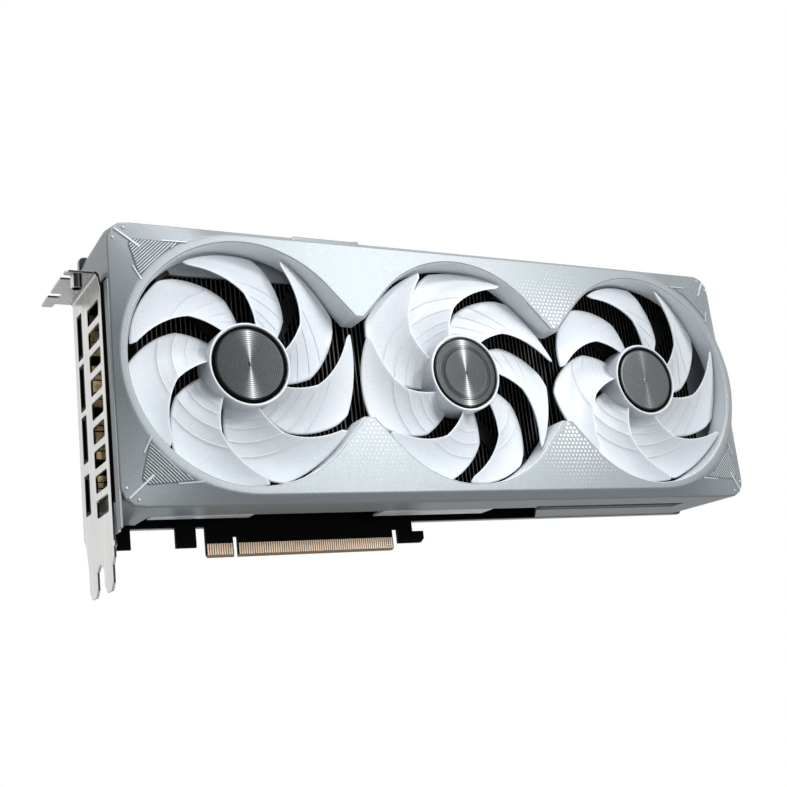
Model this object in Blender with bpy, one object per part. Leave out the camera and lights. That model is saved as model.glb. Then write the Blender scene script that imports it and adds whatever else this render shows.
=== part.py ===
# A three-fan graphics card, modelled as the pieces it is assembled from.
# Frame: X along the card from the bracket to the tail, fans facing -Y, edge connector down.
# Origin: centre of the long contact tongue's bottom edge, at mid thickness of the board.
import math

import bmesh
import bpy
from mathutils import Matrix, Vector

MM = 0.001

# Clearances shared by every fit
SEAT_GAP = 0.3 * MM  # between pieces that sit on each other
RUN_GAP = 0.5 * MM  # between a turning piece and a fixed one
BEARING_GAP = 0.1 * MM  # round the shaft in its boss and its bearing
THROUGH = 2.0 * MM  # how far a cutter runs past the face it cuts

# Circuit board and its edge connector
BOARD_THICKNESS = 1.6 * MM
BOARD_LENGTH = 206.0 * MM
BOARD_FROM_BRACKET = 2.0 * MM  # board and backplate start this far from the bracket
BOARD_EDGE_Z = 12.4 * MM
BOARD_TOP_MARGIN = 8.5 * MM  # from the board's top edge up to the shroud's top
LONG_TONGUE = 71.65 * MM
SHORT_TONGUE = 11.65 * MM
KEY_WIDTH = 1.9 * MM
KEY_TOP_Z = 8.1 * MM
TONGUE_CHAMFER = 0.8 * MM
FOOT_Z = 4.2 * MM  # bottom of the two small tabs beside the bracket
FOOT_SPANS = ((-36.5 * MM, 5.8 * MM), (-12.4 * MM, 8.5 * MM))  # from the short tongue's end, and width
HOOK_GAP = 2.6 * MM
HOOK_GAP_TOP_Z = 8.8 * MM
HOOK_BOTTOM_Z = 2.85 * MM
HOOK_STEM = 7.5 * MM
HOOK_FOOT = 13.0 * MM
HOOK_FOOT_TOP_Z = 7.9 * MM
HOOK_CHAMFER = 1.7 * MM

# Slot bracket; its place beside the tongue is set by the expansion slot
BRACKET_FROM_TONGUE = 47.6 * MM  # outer face to the short tongue's end
BRACKET_SHEET = 1.0 * MM
BRACKET_FRONT_Y = -35.4 * MM
BRACKET_BACK_Y = 3.8 * MM
BRACKET_FOLD_Z = 105.2 * MM
BRACKET_TIP_Z = -14.8 * MM
LEG_WIDTH = 11.0 * MM
LEG_CORNER = 2.75 * MM
LEG_PITCH = 20.32 * MM  # spacing of the two expansion slots
LEG_SHIFT = 1.4 * MM  # legs sit this far forward of the plate's middle
LEG_ROOT_Z = -3.3 * MM
SHOULDER_Z = 9.0 * MM
TAB_REACH = 11.7 * MM
TAB_CORNER = 3.5 * MM  # the plate's front edge slopes in under the fold
TAB_CORNER_DROP = 7.0 * MM
TAB_BACK_EXTRA = 4.0 * MM
TAB_NOTCH_WIDTH = 4.4 * MM
TAB_NOTCH_DEPTH = 4.6 * MM
VENT_COUNT = 9
VENT_PITCH = 9.4 * MM
VENT_HEIGHT = 6.6 * MM
VENT_WIDTH = 15.7 * MM
VENT_FROM_FOLD = 9.7 * MM
VENT_FROM_FRONT = 3.4 * MM

# Video sockets
TALL_SOCKET = 17.5 * MM
SHORT_SOCKET = 14.7 * MM
SOCKET_TOPS_Z = (97.5 * MM, 76.6 * MM, 55.8 * MM, 32.5 * MM)
SOCKET_THICKNESS = 6.4 * MM
SOCKET_DEPTH = 17.0 * MM
SOCKET_WALL = 0.6 * MM

# Fans
FAN_COUNT = 3
FAN_OPENING_RADIUS = 48.35 * MM
FAN_SPACING = 1.6 * MM  # between neighbouring openings
BLADE_COUNT = 7
BLADE_TIP_GAP = 1.75 * MM
BLADE_THICKNESS = 1.4 * MM
BLADE_DEPTH = 10.4 * MM
BLADE_CAMBER = 0.35  # how much the blade bows forward between its edges
BLADE_FRONT_SET = 2.6 * MM  # blades' front edge behind the deck's face
BLADE_ROOT_WIDTH = math.radians(39.0)
BLADE_TIP_WIDTH = math.radians(44.5)
BLADE_SWEEP_INNER = math.radians(1.15) / MM  # turn of the edge for each metre of radius
BLADE_SWEEP_OUTER = math.radians(1.6) / MM
BLADE_SWEEP_CHANGE = 30.0 * MM
BLADE_PHASE_RADIUS = 37.6 * MM
FAN_PHASES = (math.radians(50.4), math.radians(26.4), math.radians(51.4))
FAN_HANDS = (1, -1, 1)  # the middle fan turns the other way
HUB_RADIUS = 17.0 * MM
HUB_WALL = 1.6 * MM
HUB_FRONT_SET = 1.2 * MM  # hub's front rim behind the deck's face
HUB_RIM = 1.1 * MM
CAP_THICKNESS = 0.9 * MM
SHAFT_RADIUS = 1.4 * MM
BOSS_WALL = 1.8 * MM
BOSS_LENGTH = 3.2 * MM
MAGNET_THICKNESS = 1.6 * MM
STATOR_HEIGHT = 6.0 * MM
STRUT_WIDTH = 6.5 * MM
STRUT_THICKNESS = 2.2 * MM
STRUT_ROOT_LAP = 2.2 * MM  # how far a strut runs into the round base
STRUT_TIP_ANGLES = (52.0, 128.0, 232.0, 308.0)
STRUT_SKEW = 20.0

# Shroud
DECK_Y = -44.8 * MM
DECK_BOTTOM_Z = 16.3 * MM
RIM_LEFT = 1.85 * MM
RIM_RIGHT = 3.25 * MM
RIM_BOTTOM = 3.25 * MM
RIM_TOP = 4.75 * MM
END_RIM = 1.75 * MM
TOP_BEVEL_RISE = 5.5 * MM
BOTTOM_DRAFT_FRONT = 0.9 * MM
BOTTOM_DRAFT_BACK = 3.3 * MM
BRACKET_TO_SHROUD = 4.9 * MM
SHELL = 2.0 * MM
CREASE_LEFT = 13.0 * MM  # depth of the wall's front crease behind the deck
CREASE_RIGHT = 8.0 * MM
CORNER_RADIUS = 8.0 * MM
DUCT_DEPTH = 11.0 * MM
DUCT_WALL = 1.5 * MM
WEB_TIP_WIDTH = 5.0 * MM
WEB_GAP = 41.6 * MM
CORNER_SETBACK = 3.0 * MM  # deck corner in from the side wall
CORNER_DROP = 2.7 * MM  # deck corner in from the straight edge
CORNER_CUT = 3.0 * MM
CORNER_RUN = 24.0 * MM  # where the corner's sloped edge meets the straight edge, from the fan axis
CORNER_RUN_DROP = 0.6 * MM
CORNER_SIDE_SETBACK = 7.2 * MM  # where the corner meets the fan's rim, in from the side wall
CORNER_SIDE_RISE = 31.5 * MM
RIM_ANGLES = (28.0, 14.0)  # points of the rim between the corner and mid height
FACET_RUN_DECK = 2.5 * MM  # the bottom facet's end on the deck, from the fan axis
FACET_RUN_WALL = 23.5 * MM
BOTTOM_WALL_DEPTH = 28.7 * MM  # from the deck's face to the wall's back edge
SIDE_WALL_DEPTH = 19.0 * MM
CORNER_WALL_ROOM = 5.0 * MM  # from the corner's wall to the board
CORNER_WALL_LENGTH = 16.0 * MM
SIDE_GAP_BELOW_FOLD = 1.7 * MM
SIDE_GAP_FLOOR = 4.0 * MM
TAIL_SLIT_WIDTH = 1.5 * MM
TAIL_SLIT_START = 26.8 * MM  # from the board's end
TAIL_SLIT_END = 10.5 * MM  # from the tail's wall

# Corner inserts
INSERT_THICKNESS = 0.8 * MM
INSERT_BORDER = 1.5 * MM
INSERT_CORNERS = {  # bracket end -1 or tail 1, bottom -1 or top 1
    "corner_insert_upper_left": (-1, 1),
    "corner_insert_lower_left": (-1, -1),
    "corner_insert_lower_right": (1, -1),
    "corner_insert_upper_right": (1, 1),
}

# Brace strip beside the bracket
BRACE_WIDTH = 4.6 * MM
BRACE_SHEET = 1.0 * MM
BRACE_BOTTOM_Z = 7.2 * MM
BRACE_TOP_ROOM = 1.2 * MM

# Cooler
FIN_PITCH = 2.0 * MM
FIN_SHEET = 0.5 * MM
FIN_BASE = 0.8 * MM
FIN_END_ROOM = 8.7 * MM
FIN_STACK_GAP = 1.6 * MM
AIR_GUIDE_HEIGHT = 15.0 * MM
AIR_GUIDE_SHEET = 1.6 * MM
PIPE_RADIUS = 2.5 * MM
PIPE_END_BEVEL = 1.5 * MM
PIPE_COUNT = 4
PIPE_PITCH = 12.0 * MM
PIPE_END_ROOM = 6.0 * MM
COLD_PLATE = 62.0 * MM
COLD_PLATE_THICKNESS = 3.0 * MM

# Chips
GPU_X = 25.6 * MM
SUBSTRATE = 40.0 * MM
SUBSTRATE_THICKNESS = 1.4 * MM
DIE_LENGTH = 21.0 * MM
DIE_WIDTH = 18.0 * MM
DIE_THICKNESS = 0.7 * MM
MEMORY_LENGTH = 14.0 * MM
MEMORY_WIDTH = 12.0 * MM
MEMORY_THICKNESS = 1.2 * MM
MEMORY_ROOM = 5.0 * MM
MEMORY_PITCH = 16.0 * MM
CHOKE_SIZE = 7.0 * MM
CHOKE_HEIGHT = 4.2 * MM
CHOKE_COUNT = 4
CHOKE_PITCH = 11.0 * MM
CHOKE_ROOM = 24.0 * MM

# Power socket on the top edge
POWER_LENGTH = 20.0 * MM
POWER_THICKNESS = 8.6 * MM
POWER_HEIGHT = 14.0 * MM
POWER_WALL = 0.8 * MM
POWER_FROM_END = 34.0 * MM  # socket's middle to the board's end
POWER_OVERHANG = 2.0 * MM
POWER_ROOM = 5.0 * MM

# Backplate
BACKPLATE_SHEET = 1.7 * MM
BACKPLATE_Y = 3.4 * MM
BACKPLATE_CORNER = 3.0 * MM
BACKPLATE_END_ROOM = 1.0 * MM
POST_SIZE = 6.0 * MM
POST_MARGIN = 9.0 * MM
SLOT_COUNT = 5
SLOT_HEIGHT = 11.0 * MM
SLOT_PITCH = 17.0 * MM
SLOT_MARGIN = 8.0 * MM

# Cooler screws
SCREW_SHIFT = 0.5 * MM  # outward from halfway between the substrate's edge and the cold plate's
SCREW_RADIUS = 1.3 * MM
SCREW_HEAD_RADIUS = 2.8 * MM
SCREW_HEAD = 1.6 * MM

# Facets of round shapes
ROUND = 48
HUB_ROUND = 36
SMALL_ROUND = 20
INSERT_ARC = 6
CORNER_ARC = 4
BLADE_STATIONS = 7  # along the radius
BLADE_CHORD = 5  # from the front edge to the back edge
SHARP_ANGLE = math.radians(35.0)

# Places worked out from the sizes above
BOARD_FRONT = -BOARD_THICKNESS / 2
BOARD_BACK = BOARD_THICKNESS / 2
TONGUE_LEFT = -LONG_TONGUE / 2
TONGUE_RIGHT = LONG_TONGUE / 2
SHORT_RIGHT = TONGUE_LEFT - KEY_WIDTH
SHORT_LEFT = SHORT_RIGHT - SHORT_TONGUE
BRACKET_X = SHORT_LEFT - BRACKET_FROM_TONGUE
BRACKET_INNER = BRACKET_X + BRACKET_SHEET
BOARD_LEFT = BRACKET_INNER + BOARD_FROM_BRACKET
BOARD_RIGHT = BOARD_LEFT + BOARD_LENGTH
SHROUD_LEFT = BRACKET_X + BRACKET_TO_SHROUD
FAN_PITCH = 2 * FAN_OPENING_RADIUS + FAN_SPACING
FAN_XS = tuple(
    SHROUD_LEFT + RIM_LEFT + FAN_OPENING_RADIUS + i * FAN_PITCH for i in range(FAN_COUNT)
)
FAN_Z = DECK_BOTTOM_Z + RIM_BOTTOM + FAN_OPENING_RADIUS
SHROUD_RIGHT = FAN_XS[-1] + FAN_OPENING_RADIUS + RIM_RIGHT
DECK_TOP_Z = FAN_Z + FAN_OPENING_RADIUS + RIM_TOP
WALL_TOP_Z = DECK_TOP_Z + TOP_BEVEL_RISE
CREASE_BOTTOM_Z = DECK_BOTTOM_Z - BOTTOM_DRAFT_FRONT
WALL_BOTTOM_Z = DECK_BOTTOM_Z - BOTTOM_DRAFT_BACK
BOARD_TOP = WALL_TOP_Z - BOARD_TOP_MARGIN
SHROUD_BACK = BACKPLATE_Y - SEAT_GAP
CORNER_REACH = FAN_OPENING_RADIUS + RIM_LEFT - CORNER_SETBACK
CORNER_RISE = FAN_OPENING_RADIUS + RIM_BOTTOM - CORNER_DROP
CORNER_RUN_RISE = FAN_OPENING_RADIUS + RIM_BOTTOM - CORNER_RUN_DROP
CORNER_SIDE = FAN_OPENING_RADIUS + RIM_LEFT - CORNER_SIDE_SETBACK
TAIL_EXTRA = RIM_RIGHT - RIM_LEFT
BOTTOM_WALL_BACK_Y = DECK_Y + BOTTOM_WALL_DEPTH
SIDE_WALL_BACK_Y = DECK_Y + SIDE_WALL_DEPTH
CORNER_WALL_BACK_Y = BOARD_FRONT - CORNER_WALL_ROOM
SIDE_GAP_TOP_Z = BRACKET_FOLD_Z - SIDE_GAP_BELOW_FOLD
PAST_SHELL = SHELL + THROUGH
POWER_X = BOARD_RIGHT - POWER_FROM_END
BLADE_TIP_RADIUS = FAN_OPENING_RADIUS - BLADE_TIP_GAP
BLADE_FRONT = DECK_Y + BLADE_FRONT_SET
BLADE_BACK = BLADE_FRONT + BLADE_DEPTH
HUB_FRONT = DECK_Y + HUB_FRONT_SET
HUB_BACK = BLADE_BACK + BLADE_THICKNESS
HUB_PLATE_FRONT = HUB_FRONT + CAP_THICKNESS + SEAT_GAP
HUB_PLATE_BACK = HUB_PLATE_FRONT + HUB_WALL
BOSS_FLOOR = HUB_PLATE_FRONT + HUB_WALL / 2
BOSS_BACK = HUB_PLATE_BACK + BOSS_LENGTH
SHAFT_BORE = SHAFT_RADIUS + BEARING_GAP
BOSS_RADIUS = SHAFT_BORE + BOSS_WALL
BLADE_ROOT_RADIUS = HUB_RADIUS - HUB_WALL / 2
BASE_FRONT = HUB_BACK + RUN_GAP
BASE_BACK = BASE_FRONT + STRUT_THICKNESS
FIN_FRONT = BASE_BACK + SEAT_GAP
CHIP_SEAT = BOARD_FRONT - SEAT_GAP
DIE_SEAT = CHIP_SEAT - SUBSTRATE_THICKNESS - SEAT_GAP
PLATE_BACK = DIE_SEAT - DIE_THICKNESS - SEAT_GAP
PLATE_FRONT = PLATE_BACK - COLD_PLATE_THICKNESS
PIPE_Y = PLATE_FRONT - SEAT_GAP - PIPE_RADIUS
FIN_BACK = PIPE_Y - PIPE_RADIUS - SEAT_GAP
FIN_BOTTOM = DECK_BOTTOM_Z + SHELL + RUN_GAP
FIN_TOP = WALL_TOP_Z - SHELL - RUN_GAP


# Scene and materials


def clear_scene():
    for obj in list(bpy.data.objects):
        bpy.data.objects.remove(obj, do_unlink=True)


def finish(name, colour, roughness, metallic):
    material = bpy.data.materials.new(name)
    material.use_nodes = True
    shader = material.node_tree.nodes["Principled BSDF"]
    shader.inputs["Base Color"].default_value = (*colour, 1.0)
    shader.inputs["Roughness"].default_value = roughness
    shader.inputs["Metallic"].default_value = metallic
    return material


def make_finishes():
    return {
        "shroud": finish("silver_shroud", (0.62, 0.66, 0.68), 0.38, 0.25),
        "insert": finish("ribbed_insert", (0.60, 0.63, 0.65), 0.45, 0.2),
        "fan": finish("white_fan", (0.86, 0.88, 0.90), 0.25, 0.0),
        "cap": finish("turned_metal", (0.42, 0.42, 0.42), 0.30, 1.0),
        "steel": finish("bracket_steel", (0.75, 0.75, 0.74), 0.30, 1.0),
        "board": finish("black_board", (0.012, 0.012, 0.013), 0.45, 0.0),
        "black": finish("black_plastic", (0.02, 0.02, 0.022), 0.5, 0.0),
        "fins": finish("dark_fins", (0.05, 0.05, 0.05), 0.45, 0.9),
        "copper": finish("copper", (0.72, 0.38, 0.24), 0.35, 1.0),
        "plate": finish("silver_plate", (0.55, 0.57, 0.59), 0.40, 0.6),
        "screw": finish("screw_steel", (0.35, 0.35, 0.36), 0.35, 1.0),
    }


# Mesh helpers


def to_object(name, bm, material=None, location=(0.0, 0.0, 0.0), smooth=False):
    bmesh.ops.recalc_face_normals(bm, faces=bm.faces)
    mesh = bpy.data.meshes.new(name)
    bm.to_mesh(mesh)
    bm.free()
    obj = bpy.data.objects.new(name, mesh)
    obj.location = location
    bpy.context.scene.collection.objects.link(obj)
    if material is not None:
        mesh.materials.append(material)
    if smooth:
        mesh.shade_smooth()
        mesh.set_sharp_from_angle(angle=SHARP_ANGLE)
    return obj


def as_cutter(obj):
    obj.hide_render = True
    obj.display_type = "WIRE"
    return obj


def apply_boolean(target, other, operation):
    modifier = target.modifiers.new(other.name, "BOOLEAN")
    modifier.operation = operation
    modifier.solver = "EXACT"
    modifier.object = as_cutter(other)


def cut(target, other):
    apply_boolean(target, other, "DIFFERENCE")


def join(target, other):
    apply_boolean(target, other, "UNION")


def add_box(bm, low, high):
    corners = []
    for x in (low[0], high[0]):
        for y in (low[1], high[1]):
            for z in (low[2], high[2]):
                corners.append(bm.verts.new((x, y, z)))
    for face in ((0, 1, 3, 2), (4, 6, 7, 5), (0, 4, 5, 1), (2, 3, 7, 6), (0, 2, 6, 4), (1, 5, 7, 3)):
        bm.faces.new([corners[i] for i in face])


def box(name, low, high, material=None):
    bm = bmesh.new()
    add_box(bm, low, high)
    return to_object(name, bm, material)


def boxes(name, spans):
    bm = bmesh.new()
    for low, high in spans:
        add_box(bm, low, high)
    return to_object(name, bm)


def add_prism(bm, outline, axis, low, high):
    """Extrudes a flat outline along X, Y or Z; the outline gives the other two axes in order."""
    others = [i for i in range(3) if i != axis]
    rings = []
    for level in (low, high):
        ring = []
        for point in outline:
            place = [0.0, 0.0, 0.0]
            place[axis] = level
            place[others[0]] = point[0]
            place[others[1]] = point[1]
            ring.append(bm.verts.new(place))
        rings.append(ring)
    bm.faces.new(rings[0])
    bm.faces.new(rings[1])
    count = len(outline)
    for i in range(count):
        j = (i + 1) % count
        bm.faces.new((rings[0][i], rings[0][j], rings[1][j], rings[1][i]))


def prism(name, outline, axis, low, high, material=None):
    bm = bmesh.new()
    add_prism(bm, outline, axis, low, high)
    return to_object(name, bm, material)


def add_turned(bm, profile, steps):
    """Turns a closed profile of (radius, y) points about the Y axis."""
    rings = []
    for radius, y in profile:
        if radius == 0.0:
            rings.append([bm.verts.new((0.0, y, 0.0))] * steps)
            continue
        ring = []
        for k in range(steps):
            angle = 2 * math.pi * k / steps
            ring.append(bm.verts.new((radius * math.cos(angle), y, radius * math.sin(angle))))
        rings.append(ring)
    count = len(profile)
    for i in range(count):
        a = rings[i]
        b = rings[(i + 1) % count]
        for k in range(steps):
            n = (k + 1) % steps
            corners = []
            for vert in (a[k], a[n], b[n], b[k]):
                if vert not in corners:
                    corners.append(vert)
            if len(corners) > 2:
                bm.faces.new(corners)


def turned(name, profile, material, location, steps=HUB_ROUND):
    bm = bmesh.new()
    add_turned(bm, profile, steps)
    return to_object(name, bm, material, location, smooth=True)


def arc(centre, radius, start, stop, steps):
    points = []
    for k in range(steps + 1):
        angle = start + (stop - start) * k / steps
        points.append((centre[0] + radius * math.cos(angle), centre[1] + radius * math.sin(angle)))
    return points


# Circuit board


def board_outline():
    left_feet = []
    for start, width in FOOT_SPANS:
        x = SHORT_LEFT + start
        left_feet += [(x, BOARD_EDGE_Z), (x, FOOT_Z), (x + width, FOOT_Z), (x + width, BOARD_EDGE_Z)]
    hook_left = TONGUE_RIGHT + HOOK_GAP
    hook_right = hook_left + HOOK_FOOT
    inside_wall = SHROUD_LEFT + SHELL + SEAT_GAP
    return [
        (BOARD_LEFT, BOARD_EDGE_Z),
        *left_feet,
        (SHORT_LEFT, BOARD_EDGE_Z),
        (SHORT_LEFT, TONGUE_CHAMFER),
        (SHORT_LEFT + TONGUE_CHAMFER, 0.0),
        (SHORT_RIGHT, 0.0),
        (SHORT_RIGHT, KEY_TOP_Z),
        (TONGUE_LEFT, KEY_TOP_Z),
        (TONGUE_LEFT, 0.0),
        (TONGUE_RIGHT - TONGUE_CHAMFER, 0.0),
        (TONGUE_RIGHT, TONGUE_CHAMFER),
        (TONGUE_RIGHT, HOOK_GAP_TOP_Z),
        (hook_left, HOOK_GAP_TOP_Z),
        (hook_left, HOOK_BOTTOM_Z),
        (hook_right - HOOK_CHAMFER, HOOK_BOTTOM_Z),
        (hook_right, HOOK_BOTTOM_Z + HOOK_CHAMFER),
        (hook_right, HOOK_FOOT_TOP_Z),
        (hook_left + HOOK_STEM, HOOK_FOOT_TOP_Z),
        (hook_left + HOOK_STEM, BOARD_EDGE_Z),
        (BOARD_RIGHT, BOARD_EDGE_Z),
        (BOARD_RIGHT, BOARD_TOP),
        (inside_wall, BOARD_TOP),
        (inside_wall, SIDE_GAP_TOP_Z - SEAT_GAP),
        (BOARD_LEFT, SIDE_GAP_TOP_Z - SEAT_GAP),
    ]


def make_board(finishes, screw_holes):
    board = prism("circuit_board", board_outline(), 1, BOARD_FRONT, BOARD_BACK, finishes["board"])
    cut(board, screw_holes)


def chip(name, centre_x, centre_z, length, width, seat, thickness, material):
    low = (centre_x - length / 2, seat - thickness, centre_z - width / 2)
    high = (centre_x + length / 2, seat, centre_z + width / 2)
    return box(name, low, high, material)


def make_chips(finishes):
    chip(
        "gpu_substrate", GPU_X, FAN_Z, SUBSTRATE, SUBSTRATE, CHIP_SEAT, SUBSTRATE_THICKNESS,
        finishes["board"],
    )
    chip("gpu_die", GPU_X, FAN_Z, DIE_LENGTH, DIE_WIDTH, DIE_SEAT, DIE_THICKNESS, finishes["plate"])
    reach = SUBSTRATE / 2 + MEMORY_ROOM + MEMORY_WIDTH / 2
    number = 0
    for side in (-1, 1):
        for step in (-0.5, 0.5):
            number += 1
            chip(
                f"memory_chip_{number}", GPU_X + step * MEMORY_PITCH, FAN_Z + side * reach,
                MEMORY_LENGTH, MEMORY_WIDTH, CHIP_SEAT, MEMORY_THICKNESS, finishes["black"],
            )
    for i in range(CHOKE_COUNT):
        chip(
            f"choke_{i + 1}", GPU_X + COLD_PLATE / 2 + CHOKE_ROOM,
            FAN_Z + (i - (CHOKE_COUNT - 1) / 2) * CHOKE_PITCH,
            CHOKE_SIZE, CHOKE_SIZE, CHIP_SEAT, CHOKE_HEIGHT, finishes["plate"],
        )


# Sockets


def socket_spans():
    """Y and Z limits of each video socket's shell."""
    back = BOARD_FRONT - SEAT_GAP
    last = len(SOCKET_TOPS_Z) - 1
    spans = []
    for i, top in enumerate(SOCKET_TOPS_Z):
        height = SHORT_SOCKET if i == last else TALL_SOCKET
        spans.append((back - SOCKET_THICKNESS, back, top - height, top))
    return spans


def make_video_sockets(finishes):
    nose = BRACKET_INNER + SEAT_GAP
    tail = nose + SOCKET_DEPTH
    for i, (front, back, bottom, top) in enumerate(socket_spans()):
        name = f"video_socket_{i + 1}"
        socket = box(name, (nose, front, bottom), (tail, back, top), finishes["steel"])
        pocket = box(
            name + "_pocket",
            (nose - THROUGH, front + SOCKET_WALL, bottom + SOCKET_WALL),
            (tail - SOCKET_WALL, back - SOCKET_WALL, top - SOCKET_WALL),
        )
        cut(socket, pocket)


def power_socket_span():
    back = BOARD_FRONT - SEAT_GAP
    top = BOARD_TOP + POWER_OVERHANG
    low = (POWER_X - POWER_LENGTH / 2, back - POWER_THICKNESS, top - POWER_HEIGHT)
    high = (POWER_X + POWER_LENGTH / 2, back, top)
    return low, high


def make_power_socket(finishes):
    low, high = power_socket_span()
    socket = box("power_socket", low, high, finishes["black"])
    pocket = box(
        "power_socket_pocket",
        tuple(value + POWER_WALL for value in low),
        (high[0] - POWER_WALL, high[1] - POWER_WALL, high[2] + THROUGH),
    )
    cut(socket, pocket)


# Bracket


def bracket_outline():
    """Plate outline in Y and Z, down the front edge and back up the rear one."""
    middle = (BRACKET_FRONT_Y + BRACKET_BACK_Y) / 2
    fork = middle - LEG_SHIFT
    front_leg = (fork - LEG_PITCH / 2 - LEG_WIDTH / 2, fork - LEG_PITCH / 2 + LEG_WIDTH / 2)
    rear_leg = (fork + LEG_PITCH / 2 - LEG_WIDTH / 2, fork + LEG_PITCH / 2 + LEG_WIDTH / 2)
    return [
        (BRACKET_FRONT_Y + TAB_CORNER, BRACKET_FOLD_Z + BRACKET_SHEET),
        (BRACKET_FRONT_Y, BRACKET_FOLD_Z - TAB_CORNER_DROP),
        (BRACKET_FRONT_Y, LEG_ROOT_Z),
        (front_leg[0], LEG_ROOT_Z - LEG_CORNER),
        (front_leg[0], BRACKET_TIP_Z + LEG_CORNER),
        (front_leg[0] + LEG_CORNER, BRACKET_TIP_Z),
        (front_leg[1] - LEG_CORNER, BRACKET_TIP_Z),
        (front_leg[1], BRACKET_TIP_Z + LEG_CORNER),
        (front_leg[1], LEG_ROOT_Z - LEG_CORNER),
        (fork, LEG_ROOT_Z),
        (rear_leg[0], LEG_ROOT_Z - LEG_CORNER),
        (rear_leg[0], BRACKET_TIP_Z + LEG_CORNER),
        (rear_leg[0] + LEG_CORNER, BRACKET_TIP_Z),
        (rear_leg[1] - LEG_CORNER, BRACKET_TIP_Z),
        (rear_leg[1], BRACKET_TIP_Z + LEG_CORNER),
        (rear_leg[1], LEG_ROOT_Z),
        (BRACKET_BACK_Y - LEG_CORNER, SHOULDER_Z - LEG_CORNER),
        (BRACKET_BACK_Y, SHOULDER_Z),
        (BRACKET_BACK_Y, BRACKET_FOLD_Z + BRACKET_SHEET),
    ]


def bracket_tab_outline():
    """The folded tab in X and Y, with two screw notches in its outer edge."""
    root = BRACKET_INNER
    outer = BRACKET_X - TAB_REACH
    front = BRACKET_FRONT_Y + TAB_CORNER
    back = BRACKET_BACK_Y
    middle = (BRACKET_FRONT_Y + BRACKET_BACK_Y) / 2
    shoulder = outer + TAB_NOTCH_DEPTH
    points = [(root, front), (outer, front)]
    for side in (-1, 1):
        centre = middle + side * LEG_PITCH / 2
        points += [
            (outer, centre - TAB_NOTCH_WIDTH / 2),
            (shoulder, centre - TAB_NOTCH_WIDTH / 2),
            (shoulder, centre + TAB_NOTCH_WIDTH / 2),
            (outer, centre + TAB_NOTCH_WIDTH / 2),
        ]
    points += [
        (outer, back + TAB_BACK_EXTRA),
        (shoulder, back + TAB_BACK_EXTRA),
        (shoulder, back),
        (root, back),
    ]
    return points


def make_bracket(finishes):
    bracket = prism("io_bracket", bracket_outline(), 0, BRACKET_X, BRACKET_INNER, finishes["steel"])
    tab = prism(
        "bracket_tab", bracket_tab_outline(), 2, BRACKET_FOLD_Z, BRACKET_FOLD_Z + BRACKET_SHEET
    )
    join(bracket, tab)
    spans = []
    left = BRACKET_X - THROUGH
    right = BRACKET_INNER + THROUGH
    vent_front = BRACKET_FRONT_Y + VENT_FROM_FRONT
    for i in range(VENT_COUNT):
        top = BRACKET_FOLD_Z - VENT_FROM_FOLD - i * VENT_PITCH
        spans.append(((left, vent_front, top - VENT_HEIGHT), (right, vent_front + VENT_WIDTH, top)))
    for front, back, bottom, top in socket_spans():
        spans.append(
            (
                (left, front + SOCKET_WALL, bottom + SOCKET_WALL),
                (right, back - SOCKET_WALL, top - SOCKET_WALL),
            )
        )
    cut(bracket, boxes("bracket_holes", spans))


# Shroud


def opening_outline(grow):
    """The three joined fan openings as one loop of X and Z points, grown outward by `grow`."""
    radius = FAN_OPENING_RADIUS + grow
    tip_half = WEB_TIP_WIDTH / 2 - grow
    tip_z = WEB_GAP / 2 + grow
    across = FAN_PITCH / 2 - tip_half
    tangent = math.atan2(tip_z, across) + math.acos(radius / math.hypot(across, tip_z))
    points = []
    last = FAN_COUNT - 1
    for i in range(FAN_COUNT):
        centre = (FAN_XS[i], FAN_Z)
        if i == last:
            start, stop = math.pi + tangent, 3 * math.pi - tangent
        elif i == 0:
            continue
        else:
            start, stop = math.pi + tangent, 2 * math.pi - tangent
        middle_x = (FAN_XS[i - 1] + FAN_XS[i]) / 2
        points += [(middle_x - tip_half, FAN_Z - tip_z), (middle_x + tip_half, FAN_Z - tip_z)]
        points += arc(centre, radius, start, stop, round(ROUND * (stop - start) / (2 * math.pi)))
    for i in range(last, 0, -1):
        middle_x = (FAN_XS[i - 1] + FAN_XS[i]) / 2
        points += [(middle_x + tip_half, FAN_Z + tip_z), (middle_x - tip_half, FAN_Z + tip_z)]
        if i > 1:
            start, stop = tangent, math.pi - tangent
        else:
            start, stop = tangent, 2 * math.pi - tangent
        centre = (FAN_XS[i - 1], FAN_Z)
        points += arc(centre, radius, start, stop, round(ROUND * (stop - start) / (2 * math.pi)))
    return points


def crease_y(x):
    share = (x - SHROUD_LEFT) / (SHROUD_RIGHT - SHROUD_LEFT)
    return DECK_Y + CREASE_LEFT + (CREASE_RIGHT - CREASE_LEFT) * share


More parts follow.
